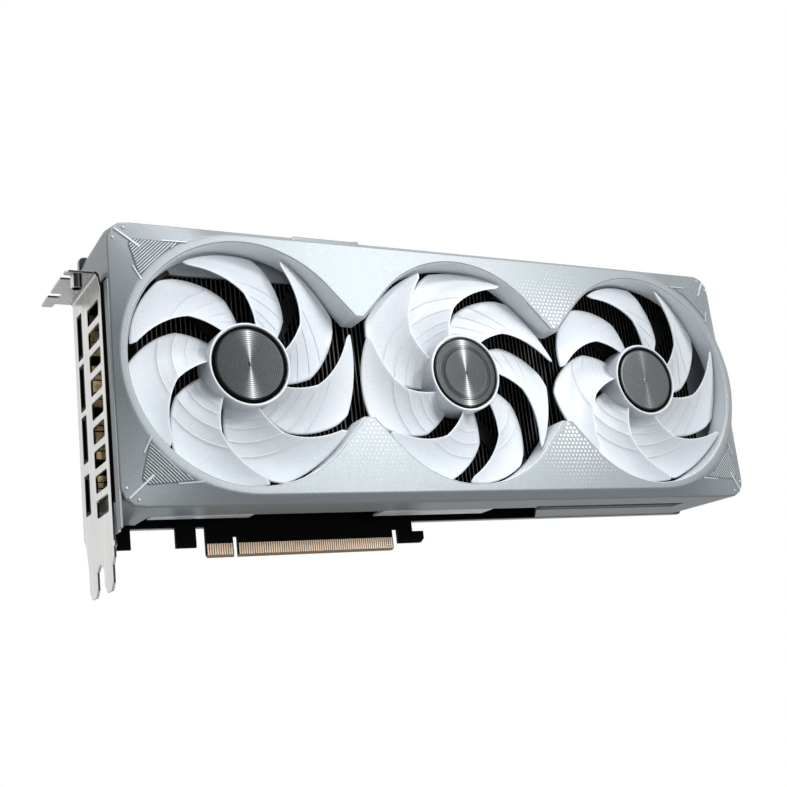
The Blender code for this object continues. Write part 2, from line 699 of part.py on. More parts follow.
def corner_stations(side, rise, inset):
    """Deck points and matching wall points of one corner, from the straight edge to mid height.

    side is -1 at the bracket end and 1 at the tail; rise is 1 at the top and -1 at the bottom.
    """
    centre_x = FAN_XS[0] if side < 0 else FAN_XS[-1]
    wall_x = (SHROUD_LEFT if side < 0 else SHROUD_RIGHT) - side * inset
    wall_z = (WALL_TOP_Z if rise > 0 else CREASE_BOTTOM_Z) - rise * inset
    edge_z = (DECK_TOP_Z if rise > 0 else DECK_BOTTOM_Z) - rise * inset
    extra = 0.0 if side < 0 else TAIL_EXTRA

    def deck(across, up):
        return (centre_x + side * (across + extra - inset), FAN_Z + rise * (up - inset))

    run_deck = 0.0 if rise > 0 else FACET_RUN_DECK
    run_wall = 0.0 if rise > 0 else FACET_RUN_WALL
    deck_points = [
        (centre_x + side * run_deck, edge_z),
        deck(CORNER_RUN, CORNER_RUN_RISE),
        deck(CORNER_REACH - CORNER_CUT, CORNER_RISE),
        deck(CORNER_REACH - CORNER_CUT / 2, CORNER_RISE - CORNER_CUT / 2),
        deck(CORNER_REACH, CORNER_RISE - CORNER_CUT),
        deck(CORNER_SIDE, CORNER_SIDE_RISE),
    ]
    radius = CORNER_RADIUS - inset
    turn_x = wall_x - side * radius
    turn_z = wall_z - rise * radius
    diagonal = radius * math.sqrt(0.5)
    run_x = centre_x + side * max(run_wall, CORNER_RUN)
    wall_points = [
        (centre_x + side * run_wall, wall_z),
        ((run_x + turn_x) / 2, wall_z),
        (turn_x, wall_z),
        (turn_x + side * diagonal, turn_z + rise * diagonal),
        (wall_x, turn_z),
        (wall_x, FAN_Z + rise * CORNER_SIDE_RISE),
    ]
    rim = FAN_OPENING_RADIUS + END_RIM + extra - inset
    for degrees in RIM_ANGLES:
        angle = math.radians(degrees)
        point = (centre_x + side * rim * math.cos(angle), FAN_Z + rise * rim * math.sin(angle))
        deck_points.append(point)
        wall_points.append((wall_x, point[1]))
    return deck_points, wall_points


def shroud_sections(inset):
    """Matching loops of deck and wall points round the whole shroud."""
    deck_loop = []
    wall_loop = []
    for side, rise in ((-1, 1), (-1, -1), (1, -1), (1, 1)):
        deck_points, wall_points = corner_stations(side, rise, inset)
        if side * rise > 0:
            deck_points.reverse()
            wall_points.reverse()
            centre_x = FAN_XS[0] if side < 0 else FAN_XS[-1]
            extra = 0.0 if side < 0 else TAIL_EXTRA
            rim = FAN_OPENING_RADIUS + END_RIM + extra - inset
            wall_x = (SHROUD_LEFT if side < 0 else SHROUD_RIGHT) - side * inset
            deck_points.insert(0, (centre_x + side * rim, FAN_Z))
            wall_points.insert(0, (wall_x, FAN_Z))
        deck_loop += deck_points
        wall_loop += wall_points
    return deck_loop, wall_loop


def close_section(bm, ring):
    """Fills a section with faces about the two end fans' axes; its first half is the bracket end."""
    half = len(ring) // 2
    y = ring[0].co.y
    left = bm.verts.new((FAN_XS[0], y, FAN_Z))
    right = bm.verts.new((FAN_XS[-1], y, FAN_Z))
    for centre, points in ((left, ring[:half]), (right, ring[half:])):
        for a, b in zip(points, points[1:]):
            bm.faces.new((centre, a, b))
    bm.faces.new((left, ring[half - 1], ring[half], right))
    bm.faces.new((right, ring[-1], ring[0], left))


def shroud_solid(name, inset, back_y):
    deck_loop, wall_loop = shroud_sections(inset)
    bm = bmesh.new()
    sections = []
    ring = [bm.verts.new((x, DECK_Y + inset, z)) for x, z in deck_loop]
    sections.append(ring)
    sections.append([bm.verts.new((x, crease_y(x) + inset / 2, z)) for x, z in wall_loop])
    low_edge = CREASE_BOTTOM_Z + inset
    drop = BOTTOM_DRAFT_BACK - BOTTOM_DRAFT_FRONT
    ring = []
    for x, z in wall_loop:
        lowered = z - drop if z < low_edge + CORNER_RADIUS / 2 else z
        ring.append(bm.verts.new((x, back_y, lowered)))
    sections.append(ring)
    count = len(deck_loop)
    for a, b in zip(sections, sections[1:]):
        for i in range(count):
            j = (i + 1) % count
            bm.faces.new((a[i], a[j], b[j], b[i]))
    close_section(bm, sections[0])
    close_section(bm, sections[-1])
    bmesh.ops.triangulate(bm, faces=bm.faces)
    return to_object(name, bm)


def insert_outline(side, rise):
    """One insert's pocket in X and Z: two straight legs and an edge that follows the fan ring."""
    centre_x = FAN_XS[0] if side < 0 else FAN_XS[-1]
    extra = 0.0 if side < 0 else TAIL_EXTRA
    inner = FAN_OPENING_RADIUS + END_RIM + INSERT_BORDER + extra
    reach = CORNER_REACH - INSERT_BORDER + extra
    top = CORNER_RISE - INSERT_BORDER
    low_angle = math.atan2(CORNER_SIDE_RISE + 2 * INSERT_BORDER, CORNER_SIDE + extra - INSERT_BORDER)
    high_angle = math.atan2(CORNER_RUN_RISE - 2 * INSERT_BORDER, CORNER_RUN + extra + INSERT_BORDER)
    local = arc((0.0, 0.0), inner, low_angle, high_angle, INSERT_ARC)
    local += [(reach - CORNER_CUT, top), (reach, top - CORNER_CUT)]
    points = [(centre_x + side * x, FAN_Z + rise * z) for x, z in local]
    if side * rise < 0:
        points.reverse()
    return points


def inset_outline(points, distance):
    """Moves every edge of a loop inward by a distance."""
    pairs = list(zip(points, points[1:] + points[:1]))
    area = sum(a[0] * b[1] - b[0] * a[1] for a, b in pairs)
    turn = math.copysign(1.0, area)
    lines = []
    for a, b in pairs:
        along = (Vector(b) - Vector(a)).normalized()
        inward = Vector((-along.y, along.x)) * turn
        lines.append((Vector(a) + inward * distance, along))
    moved = []
    for (p, d), (q, e) in zip(lines[-1:] + lines[:-1], lines):
        reach = (q - p).cross(e) / d.cross(e)
        moved.append(tuple(p + d * reach))
    return moved


def make_inserts(finishes):
    for name, (side, rise) in INSERT_CORNERS.items():
        outline = inset_outline(insert_outline(side, rise), SEAT_GAP)
        prism(name, outline, 1, DECK_Y, DECK_Y + INSERT_THICKNESS, finishes["insert"])


def make_shroud(finishes):
    shroud = shroud_solid("shroud", 0.0, SHROUD_BACK)
    shroud.data.materials.append(finishes["shroud"])
    cavity = shroud_solid("shroud_cavity", SHELL, SHROUD_BACK + THROUGH)
    duct = prism(
        "shroud_duct", opening_outline(DUCT_WALL), 1, DECK_Y - THROUGH, DECK_Y + DUCT_DEPTH
    )
    cut(cavity, duct)
    cut(shroud, cavity)
    opening = prism(
        "shroud_opening", opening_outline(0.0), 1, DECK_Y - THROUGH, DECK_Y + DUCT_DEPTH + THROUGH
    )
    cut(shroud, opening)
    power_low, power_high = power_socket_span()
    openings = boxes(
        "shroud_cutouts",
        [
            # Under the board, where the edge connector and its slot come through
            (
                (SHROUD_LEFT + CORNER_WALL_LENGTH, BOTTOM_WALL_BACK_Y, WALL_BOTTOM_Z - THROUGH),
                (BOARD_RIGHT + SEAT_GAP, SHROUD_BACK + THROUGH, FIN_BOTTOM),
            ),
            # Beside the bracket, where the sockets and the exhaust vents face
            (
                (SHROUD_LEFT - THROUGH, SIDE_WALL_BACK_Y, WALL_BOTTOM_Z + SIDE_GAP_FLOOR),
                (SHROUD_LEFT + PAST_SHELL, SHROUD_BACK + THROUGH, SIDE_GAP_TOP_Z),
            ),
            # Over the power socket
            (
                (power_low[0] - POWER_ROOM, power_low[1] - SEAT_GAP, WALL_TOP_Z - PAST_SHELL),
                (power_high[0] + POWER_ROOM, SHROUD_BACK + THROUGH, WALL_TOP_Z + THROUGH),
            ),
            # Narrow slit along the tail's underside
            (
                (BOARD_RIGHT + TAIL_SLIT_START, BOTTOM_WALL_BACK_Y, WALL_BOTTOM_Z - THROUGH),
                (SHROUD_RIGHT - TAIL_SLIT_END, BOTTOM_WALL_BACK_Y + TAIL_SLIT_WIDTH, FIN_BOTTOM),
            ),
        ],
    )
    cut(shroud, openings)
    board_slot = box(
        "shroud_board_slot",
        (SHROUD_LEFT - THROUGH, CORNER_WALL_BACK_Y, WALL_BOTTOM_Z - THROUGH),
        (BOARD_RIGHT + SEAT_GAP, SHROUD_BACK + THROUGH, FIN_BOTTOM),
    )
    cut(shroud, board_slot)
    for name, (side, rise) in INSERT_CORNERS.items():
        depth = DECK_Y + INSERT_THICKNESS + SEAT_GAP
        pocket = prism(name + "_pocket", insert_outline(side, rise), 1, DECK_Y - THROUGH, depth)
        cut(shroud, pocket)


def make_brace(finishes):
    front = SIDE_WALL_BACK_Y + SEAT_GAP
    box(
        "bracket_brace",
        (SHROUD_LEFT, front, BRACE_BOTTOM_Z),
        (SHROUD_LEFT + BRACE_SHEET, front + BRACE_WIDTH, SIDE_GAP_TOP_Z - BRACE_TOP_ROOM),
        finishes["plate"],
    )


# Fans


def edge_turn(radius):
    """How far the blade's front edge has swept round at a radius."""
    inner = min(radius, BLADE_SWEEP_CHANGE)
    outer = max(radius, BLADE_SWEEP_CHANGE) - BLADE_SWEEP_CHANGE
    return BLADE_SWEEP_INNER * inner + BLADE_SWEEP_OUTER * outer


def blade_point(radius, share, phase, hand, lift):
    """A point of the blade: share 0 is the front edge and 1 the back edge."""
    along = (radius - BLADE_ROOT_RADIUS) / (BLADE_TIP_RADIUS - BLADE_ROOT_RADIUS)
    width = BLADE_ROOT_WIDTH + (BLADE_TIP_WIDTH - BLADE_ROOT_WIDTH) * along
    turn = edge_turn(radius) - edge_turn(BLADE_PHASE_RADIUS) - share * width
    angle = phase + hand * turn
    depth = share * (1.0 + BLADE_CAMBER - BLADE_CAMBER * share)
    y = BLADE_FRONT + BLADE_THICKNESS / 2 + (BLADE_DEPTH - BLADE_THICKNESS) * depth + lift
    return Vector((radius * math.cos(angle), y, radius * math.sin(angle)))


def blade(name, phase, hand):
    """One swept blade as a closed plate, about the fan's own axis."""
    reach = BLADE_TIP_RADIUS - BLADE_ROOT_RADIUS
    bm = bmesh.new()
    layers = []
    for lift in (-BLADE_THICKNESS / 2, BLADE_THICKNESS / 2):
        rows = []
        for i in range(BLADE_STATIONS):
            radius = BLADE_ROOT_RADIUS + reach * i / (BLADE_STATIONS - 1)
            row = []
            for k in range(BLADE_CHORD):
                row.append(bm.verts.new(blade_point(radius, k / (BLADE_CHORD - 1), phase, hand, lift)))
            rows.append(row)
        layers.append(rows)
    for rows in layers:
        for i in range(BLADE_STATIONS - 1):
            for k in range(BLADE_CHORD - 1):
                bm.faces.new((rows[i][k], rows[i][k + 1], rows[i + 1][k + 1], rows[i + 1][k]))
    rim = [(0, k) for k in range(BLADE_CHORD)]
    rim += [(i, BLADE_CHORD - 1) for i in range(1, BLADE_STATIONS)]
    rim += [(BLADE_STATIONS - 1, k) for k in range(BLADE_CHORD - 2, -1, -1)]
    rim += [(i, 0) for i in range(BLADE_STATIONS - 2, 0, -1)]
    for (i, k), (m, n) in zip(rim, rim[1:] + rim[:1]):
        bm.faces.new((layers[0][i][k], layers[0][m][n], layers[1][m][n], layers[1][i][k]))
    bmesh.ops.triangulate(bm, faces=bm.faces)
    return to_object(name, bm)


def hub_profile():
    """The rotor's cup: rim, recess for the cap, front plate, boss for the shaft and skirt."""
    recess = HUB_RADIUS - HUB_RIM
    inner = HUB_RADIUS - HUB_WALL
    return [
        (SHAFT_BORE, BOSS_FLOOR),
        (0.0, BOSS_FLOOR),
        (0.0, HUB_PLATE_FRONT),
        (recess, HUB_PLATE_FRONT),
        (recess, HUB_FRONT),
        (HUB_RADIUS, HUB_FRONT),
        (HUB_RADIUS, HUB_BACK),
        (inner, HUB_BACK),
        (inner, HUB_PLATE_BACK),
        (BOSS_RADIUS, HUB_PLATE_BACK),
        (BOSS_RADIUS, BOSS_BACK),
        (SHAFT_BORE, BOSS_BACK),
    ]


def ring_profile(inner, outer, front, back):
    return [(inner, front), (outer, front), (outer, back), (inner, back)]


def make_rotor(number, centre, phase, hand, finishes):
    bm = bmesh.new()
    add_turned(bm, hub_profile(), HUB_ROUND)
    rotor = to_object(f"fan_rotor_{number}", bm, finishes["fan"], centre)
    for i in range(BLADE_COUNT):
        turned_by = phase + 2 * math.pi * i / BLADE_COUNT
        wing = blade(f"fan_{number}_blade_{i + 1}", turned_by, hand)
        wing.location = centre
        join(rotor, wing)
    rotor.data.shade_smooth()
    rotor.data.set_sharp_from_angle(angle=SHARP_ANGLE)


def make_fan(number, finishes):
    centre = (FAN_XS[number - 1], 0.0, FAN_Z)
    make_rotor(number, centre, FAN_PHASES[number - 1], FAN_HANDS[number - 1], finishes)
    cap_radius = HUB_RADIUS - HUB_RIM - SEAT_GAP
    cap = ring_profile(0.0, cap_radius, HUB_FRONT, HUB_FRONT + CAP_THICKNESS)
    turned(f"hub_cap_{number}", cap, finishes["cap"], centre)
    shaft = ring_profile(0.0, SHAFT_RADIUS, BOSS_FLOOR + SEAT_GAP, BASE_BACK)
    turned(f"fan_shaft_{number}", shaft, finishes["screw"], centre, SMALL_ROUND)
    magnet_outer = HUB_RADIUS - HUB_WALL - SEAT_GAP
    magnet_inner = magnet_outer - MAGNET_THICKNESS
    magnet = ring_profile(magnet_inner, magnet_outer, HUB_PLATE_BACK + SEAT_GAP, HUB_BACK - SEAT_GAP)
    turned(f"magnet_ring_{number}", magnet, finishes["black"], centre, SMALL_ROUND)
    stator_back = BASE_FRONT - SEAT_GAP
    stator = ring_profile(
        BOSS_RADIUS + SEAT_GAP, magnet_inner - RUN_GAP, stator_back - STATOR_HEIGHT, stator_back
    )
    turned(f"fan_stator_{number}", stator, finishes["copper"], centre, SMALL_ROUND)
    make_motor_base(number, centre, finishes)


def make_motor_base(number, centre, finishes):
    """Round base with the bearing tube, carried by struts whose feet sit on the duct's rim."""
    profile = [
        (SHAFT_BORE, BOSS_BACK + RUN_GAP),
        (BOSS_RADIUS, BOSS_BACK + RUN_GAP),
        (BOSS_RADIUS, BASE_FRONT),
        (HUB_RADIUS, BASE_FRONT),
        (HUB_RADIUS, BASE_BACK),
        (SHAFT_BORE, BASE_BACK),
    ]
    base = turned(f"motor_base_{number}", profile, finishes["black"], centre, SMALL_ROUND)
    rim = FAN_OPENING_RADIUS + DUCT_WALL / 2
    foot_front = DECK_Y + DUCT_DEPTH + SEAT_GAP
    inside = BLADE_TIP_RADIUS + RUN_GAP
    for k, degrees in enumerate(STRUT_TIP_ANGLES):
        tip = math.radians(degrees)
        root = math.radians(degrees - STRUT_SKEW)
        start = Vector((math.cos(root), math.sin(root))) * (HUB_RADIUS - STRUT_ROOT_LAP)
        end = Vector((math.cos(tip), math.sin(tip))) * rim
        run = end - start
        bm = bmesh.new()
        half = STRUT_WIDTH / 2
        add_box(bm, (0.0, BASE_FRONT, -half), (run.length, BASE_BACK, half))
        turn = Matrix.Rotation(-math.atan2(run.y, run.x), 4, "Y")
        bmesh.ops.transform(bm, matrix=turn, verts=bm.verts)
        bmesh.ops.translate(bm, vec=(start.x, 0.0, start.y), verts=bm.verts)
        strut = to_object(f"motor_{number}_strut_{k + 1}", bm)
        strut.location = centre
        join(base, strut)
        bm = bmesh.new()
        add_box(bm, (inside, foot_front, -half), (rim + DUCT_WALL / 2, BASE_BACK, half))
        bmesh.ops.transform(bm, matrix=Matrix.Rotation(-tip, 4, "Y"), verts=bm.verts)
        foot = to_object(f"motor_{number}_foot_{k + 1}", bm)
        foot.location = centre
        join(base, foot)


# Cooler


def comb_outline(start, stop, root, base, tip):
    """A comb in one plane: a base strip from start to stop with thin teeth reaching to tip."""
    toward = 1.0 if tip > root else -1.0
    shoulder = root + toward * base
    count = int((stop - start - FIN_SHEET) / FIN_PITCH) + 1
    points = [(start + (count - 1) * FIN_PITCH + FIN_SHEET, root), (start, root)]
    for i in range(count):
        left = start + i * FIN_PITCH
        right = left + FIN_SHEET
        if i > 0:
            points.append((left, shoulder))
        points += [(left, tip), (right, tip)]
        if i < count - 1:
            points.append((right, shoulder))
    return points


def fin_spans():
    """X spans of the left, middle and tail stacks."""
    left = SHROUD_LEFT + SHELL + FIN_END_ROOM
    right = SHROUD_RIGHT - SHELL - FIN_END_ROOM
    first = (FAN_XS[0] + FAN_XS[1]) / 2
    second = BOARD_RIGHT
    half = FIN_STACK_GAP / 2
    return (left, first - half), (first + half, second - half), (second + half, right)


def make_fins(finishes):
    left, middle, tail = fin_spans()
    guide_bottom = FIN_TOP - AIR_GUIDE_HEIGHT
    outline = comb_outline(*left, FIN_BACK, FIN_BASE, FIN_FRONT)
    prism("fin_stack_left", outline, 2, FIN_BOTTOM, guide_bottom - SEAT_GAP, finishes["fins"])
    outline = comb_outline(*middle, FIN_BACK, FIN_BASE, FIN_FRONT)
    prism("fin_stack_middle", outline, 2, FIN_BOTTOM, FIN_TOP, finishes["fins"])
    # A plain strip closes the gap over the shorter left stack
    box(
        "air_guide",
        (left[0], FIN_FRONT, guide_bottom),
        (left[1], FIN_FRONT + AIR_GUIDE_SHEET, FIN_TOP),
        finishes["black"],
    )
    # The tail's fins hang from a strip along their top, so air passes from front to back
    outline = comb_outline(*tail, FIN_TOP, FIN_BASE, FIN_BOTTOM)
    prism("fin_stack_tail", outline, 1, FIN_FRONT, FIN_BACK, finishes["fins"])


def make_pipes(finishes):
    spans = fin_spans()
    left = spans[0][0] + PIPE_END_ROOM
    right = spans[-1][1] - PIPE_END_ROOM
    for i in range(PIPE_COUNT):
        z = FAN_Z + (i - (PIPE_COUNT - 1) / 2) * PIPE_PITCH
        bm = bmesh.new()
        tip = PIPE_RADIUS - PIPE_END_BEVEL
        length = right - left
        profile = [(0.0, 0.0), (tip, 0.0), (PIPE_RADIUS, PIPE_END_BEVEL)]
        profile += [(PIPE_RADIUS, length - PIPE_END_BEVEL), (tip, length), (0.0, length)]
        add_turned(bm, profile, SMALL_ROUND)
        bmesh.ops.transform(bm, matrix=Matrix.Rotation(math.radians(-90.0), 4, "Z"), verts=bm.verts)
        to_object(f"heat_pipe_{i + 1}", bm, finishes["copper"], (left, PIPE_Y, z), smooth=True)


def make_cold_plate(finishes, screw_holes):
    plate = chip(
        "cold_plate", GPU_X, FAN_Z, COLD_PLATE, COLD_PLATE, PLATE_BACK, COLD_PLATE_THICKNESS,
        finishes["copper"],
    )
    cut(plate, screw_holes)


# Backplate and screws


def screw_places():
    half = (SUBSTRATE + COLD_PLATE) / 4 + SCREW_SHIFT
    return [(GPU_X + sx * half, FAN_Z + sz * half) for sx in (-1, 1) for sz in (-1, 1)]


def add_pin(bm, place, radius, low, high):
    part = bmesh.new()
    add_turned(part, [(0.0, low), (radius, low), (radius, high), (0.0, high)], SMALL_ROUND)
    bmesh.ops.translate(part, vec=(place[0], 0.0, place[1]), verts=part.verts)
    mesh = bpy.data.meshes.new("pin")
    part.to_mesh(mesh)
    part.free()
    bm.from_mesh(mesh)
    bpy.data.meshes.remove(mesh)


def make_screw_holes(name, radius):
    bm = bmesh.new()
    back = BACKPLATE_Y + BACKPLATE_SHEET + THROUGH
    for place in screw_places():
        add_pin(bm, place, radius + SEAT_GAP, PLATE_FRONT - THROUGH, back)
    return as_cutter(to_object(name, bm))


def make_screws(finishes):
    seat = BOARD_BACK + SEAT_GAP
    for i, (x, z) in enumerate(screw_places()):
        profile = [
            (0.0, PLATE_FRONT),
            (SCREW_RADIUS, PLATE_FRONT),
            (SCREW_RADIUS, seat),
            (SCREW_HEAD_RADIUS, seat),
            (SCREW_HEAD_RADIUS, seat + SCREW_HEAD),
            (0.0, seat + SCREW_HEAD),
        ]
        turned(f"cooler_screw_{i + 1}", profile, finishes["screw"], (x, 0.0, z), SMALL_ROUND)


def backplate_outline():
    left = BRACKET_INNER + BOARD_FROM_BRACKET
    right = SHROUD_RIGHT - BACKPLATE_END_ROOM
    radius = BACKPLATE_CORNER
    points = []
    quarter = math.pi / 2
    for x, z, start in (
        (left + radius, WALL_BOTTOM_Z + radius, 2),
        (right - radius, WALL_BOTTOM_Z + radius, 3),
        (right - radius, WALL_TOP_Z - radius, 0),
        (left + radius, WALL_TOP_Z - radius, 1),
    ):
        points += arc((x, z), radius, start * quarter, (start + 1) * quarter, CORNER_ARC)
    return points


def backplate_slot_spans():
    left = BOARD_RIGHT + SLOT_MARGIN
    right = SHROUD_RIGHT - SHELL - SLOT_MARGIN
    spans = []
    for i in range(SLOT_COUNT):
        z = FAN_Z + (i - (SLOT_COUNT - 1) / 2) * SLOT_PITCH
        spans.append(
            (
                (left, BACKPLATE_Y - THROUGH, z - SLOT_HEIGHT / 2),
                (right, BACKPLATE_Y + BACKPLATE_SHEET + THROUGH, z + SLOT_HEIGHT / 2),
            )
        )
    return spans


def make_backplate(finishes, head_holes):
    back = BACKPLATE_Y + BACKPLATE_SHEET
    plate = prism("backplate", backplate_outline(), 1, BACKPLATE_Y, back, finishes["plate"])
    post_front = BOARD_BACK + SEAT_GAP
    spans = []
    for x in (BOARD_LEFT + POST_MARGIN, (BOARD_LEFT + BOARD_RIGHT) / 2, BOARD_RIGHT - POST_MARGIN):
        for z in (BOARD_EDGE_Z + POST_MARGIN, BOARD_TOP - POST_MARGIN):
            half = POST_SIZE / 2
            low = (x - half, post_front, z - half)
            spans.append((low, (x + half, BACKPLATE_Y + BACKPLATE_SHEET / 2, z + half)))
    join(plate, boxes("backplate_posts", spans))
    cut(plate, boxes("backplate_slots", backplate_slot_spans()))
    cut(plate, head_holes)


def main():
    clear_scene()
    finishes = make_finishes()
    screw_holes = make_screw_holes("screw_holes", SCREW_RADIUS)
    head_holes = make_screw_holes("screw_head_holes", SCREW_HEAD_RADIUS)
    make_board(finishes, screw_holes)
    make_chips(finishes)
    make_video_sockets(finishes)
    make_power_socket(finishes)
    make_bracket(finishes)
    make_shroud(finishes)
    make_inserts(finishes)
    make_brace(finishes)
    for number in range(1, FAN_COUNT + 1):
        make_fan(number, finishes)
    make_fins(finishes)
    make_pipes(finishes)
    make_cold_plate(finishes, screw_holes)
    make_backplate(finishes, head_holes)
    make_screws(finishes)


main()
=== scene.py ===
# Looks for a three-fan graphics card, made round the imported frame
import math

import bmesh
import bpy
import numpy as np
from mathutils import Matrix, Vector
from mathutils.geometry import delaunay_2d_cdt


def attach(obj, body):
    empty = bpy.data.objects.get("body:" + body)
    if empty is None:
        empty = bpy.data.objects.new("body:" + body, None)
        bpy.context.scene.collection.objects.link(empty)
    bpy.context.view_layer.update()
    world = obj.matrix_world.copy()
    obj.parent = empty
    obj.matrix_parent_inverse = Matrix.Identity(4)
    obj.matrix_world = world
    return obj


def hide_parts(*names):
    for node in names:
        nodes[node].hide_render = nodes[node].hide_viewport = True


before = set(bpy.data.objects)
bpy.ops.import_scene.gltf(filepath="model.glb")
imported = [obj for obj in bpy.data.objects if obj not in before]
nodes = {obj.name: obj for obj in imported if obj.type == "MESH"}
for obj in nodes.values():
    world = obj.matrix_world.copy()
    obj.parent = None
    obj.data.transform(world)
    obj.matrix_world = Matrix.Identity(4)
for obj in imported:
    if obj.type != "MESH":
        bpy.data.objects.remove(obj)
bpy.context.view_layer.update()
scene = bpy.context.scene
mm = 0.001  # the card's pieces are drawn in millimetres, the stage in metres
print("frame loaded,", len(nodes), "nodes")

# places that several pieces share
card = {
    "fanXs": (-41.875, 56.425, 154.725),
    "fanZ": 67.9,
    "openingRadius": 48.6,
    "deckY": -44.8,
    "backY": 3.1,
    "bracketX": -96.975,
    "bracketInner": -95.975,
}


def clamp(value):
    return min(1.0, max(0.0, value))


# turns a drawing in millimetres into a mesh in metres, with its faces outward
def meshFrom(name, bm):
    bmesh.ops.recalc_face_normals(bm, faces=bm.faces)
    bmesh.ops.scale(bm, vec=(mm, mm, mm), verts=bm.verts)
    mesh = bpy.data.meshes.new(name)
    bm.to_mesh(mesh)
    bm.free()
    return mesh


def newPiece(name, bm, looks, body, replaced=(), at=(0, 0, 0), sharp=32):
    return placePiece(name, meshFrom(name, bm), looks, body, replaced, at, sharp)


# looks are names of finishes, in the order of the faces' material numbers
def placePiece(name, mesh, looks, body, replaced=(), at=(0, 0, 0), sharp=32):
    for look in looks:
        mesh.materials.append(finishes[look])
    mesh.shade_smooth()
    mesh.set_sharp_from_angle(angle=math.radians(sharp))
    piece = bpy.data.objects.new(name, mesh)
    piece.location = Vector(at) * mm
    scene.collection.objects.link(piece)
    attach(piece, body)
    if replaced:
        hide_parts(*replaced)
    return piece


def evenNormals(piece):
    shade = piece.modifiers.new("evenNormals", "WEIGHTED_NORMAL")
    shade.keep_sharp = True
    return piece


def softEdges(piece, width, segments=2):
    edge = piece.modifiers.new("softEdges", "BEVEL")
    edge.width = width * mm
    edge.segments = segments
    edge.limit_method = "ANGLE"
    edge.angle_limit = math.radians(40)
    return evenNormals(piece)


def band(bm, first, second, index=0):
    count = len(first)
    for i in range(count):
        j = (i + 1) % count
        corners = []
        for vert in (first[i], first[j], second[j], second[i]):
            if vert not in corners:
                corners.append(vert)
        if len(corners) > 2:
            bm.faces.new(corners).material_index = index


# joins rings in a row, and closes both ends unless told not to
def skin(bm, rings, index=0, closed=True):
    for first, second in zip(rings, rings[1:]):
        band(bm, first, second, index)
    if closed:
        bm.faces.new(rings[0]).material_index = index
        bm.faces.new(rings[-1]).material_index = index


# fills a flat face that has an outer ring and any holes; extra are loose points inside it
def fillFlat(bm, rings, across, extra=(), index=0):
    verts = [vert for ring in rings for vert in ring] + list(extra)
    points = [Vector((vert.co[across[0]], vert.co[across[1]])) for vert in verts]
    edges = []
    for ring in rings:
        start = len(edges)
        edges += [(start + i, start + (i + 1) % len(ring)) for i in range(len(ring))]
    made = delaunay_2d_cdt(points, edges, [], 0, 1e-7)
    flat = np.array([tuple(point) for point in made[0]])
    corners = np.array(made[2])
    middles = flat[corners].mean(axis=1)
    inside = np.zeros(len(corners), bool)
    for i, j in edges:
        (x0, y0), (x1, y1) = points[i], points[j]
        if y0 == y1:
            continue
        crosses = (y0 > middles[:, 1]) != (y1 > middles[:, 1])
        inside ^= crosses & (middles[:, 0] < x0 + (middles[:, 1] - y0) * (x1 - x0) / (y1 - y0))
    for corner in corners[inside]:
        bm.faces.new([verts[made[3][k][0]] for k in corner]).material_index = index


sharpestMitre = 0.4  # keeps pointed corners from shooting out
longestRound = 0.48  # a rounded corner takes at most this share of each side


def insetLoop(points, distance):
    count = len(points)
    spots = [Vector(point) for point in points]
    area = sum(spots[i - 1].cross(spots[i]) for i in range(count))
    turn = 1 if area > 0 else -1
    moved = []
    for i, here in enumerate(spots):
        before = (here - spots[i - 1]).normalized()
        after = (spots[(i + 1) % count] - here).normalized()
        normal = Vector((-before.y - after.y, before.x + after.x)).normalized() * turn
        side = Vector((-before.y, before.x)) * turn
        moved.append(tuple(here + normal * distance / max(sharpestMitre, normal.dot(side))))
    return moved


def insideLoop(point, loop):
    inside = False
    for i, (x1, y1) in enumerate(loop):
        x0, y0 = loop[i - 1]
        if (y0 > point[1]) != (y1 > point[1]) and point[0] < x0 + (point[1] - y0) * (x1 - x0) / (y1 - y0):
            inside = not inside
    return inside


# a point on the curve that leaves a towards b and arrives at c
def bend(a, b, c, t):
    return a * (1 - t) ** 2 + b * 2 * t * (1 - t) + c * t * t


def roundLoop(points, radius, steps=4):
    rounded = []
    for i, point in enumerate(points):
        here = Vector(point)
        back = Vector(points[i - 1]) - here
        ahead = Vector(points[(i + 1) % len(points)]) - here
        reach = radius / math.tan(back.angle(ahead) / 2)
        reach = min(reach, longestRound * back.length, longestRound * ahead.length)
        start = here + back.normalized() * reach
        stop = here + ahead.normalized() * reach
        rounded += [tuple(bend(start, here, stop, k / steps)) for k in range(steps + 1)]
    return rounded


def arc(centre, radius, start, stop, steps):
    turns = [start + (stop - start) * k / steps for k in range(steps + 1)]
    return [(centre[0] + radius * math.cos(a), centre[1] + radius * math.sin(a)) for a in turns]


def circle(centre, radius, steps):
    return arc(centre, radius, 0, 2 * math.pi * (steps - 1) / steps, steps - 1)


def rectangle(low, high):
    return [(low[0], low[1]), (high[0], low[1]), (high[0], high[1]), (low[0], high[1])]


def ringAt(bm, points, axis, level):
    across = [i for i in range(3) if i != axis]
    ring = []
    for point in points:
        place = [level, level, level]
        place[across[0]], place[across[1]] = point
        ring.append(bm.verts.new(place))
    return ring


# a plate with softened edges; its loops are drawn in the two axes other than its own
def addSheet(bm, outer, holes, axis, low, high, edge=0.2, index=0):
    across = [i for i in range(3) if i != axis]
    lowRings, highRings = [], []
    for k, loop in enumerate([outer] + list(holes)):
        small = insetLoop(loop, edge if k == 0 else -edge)
        rings = [ringAt(bm, small, axis, low), ringAt(bm, loop, axis, low + edge)]
        rings += [ringAt(bm, loop, axis, high - edge), ringAt(bm, small, axis, high)]
        skin(bm, rings, index, closed=False)
        lowRings.append(rings[0])
        highRings.append(rings[-1])
    fillFlat(bm, lowRings, across, index=index)
    fillFlat(bm, highRings, across, index=index)


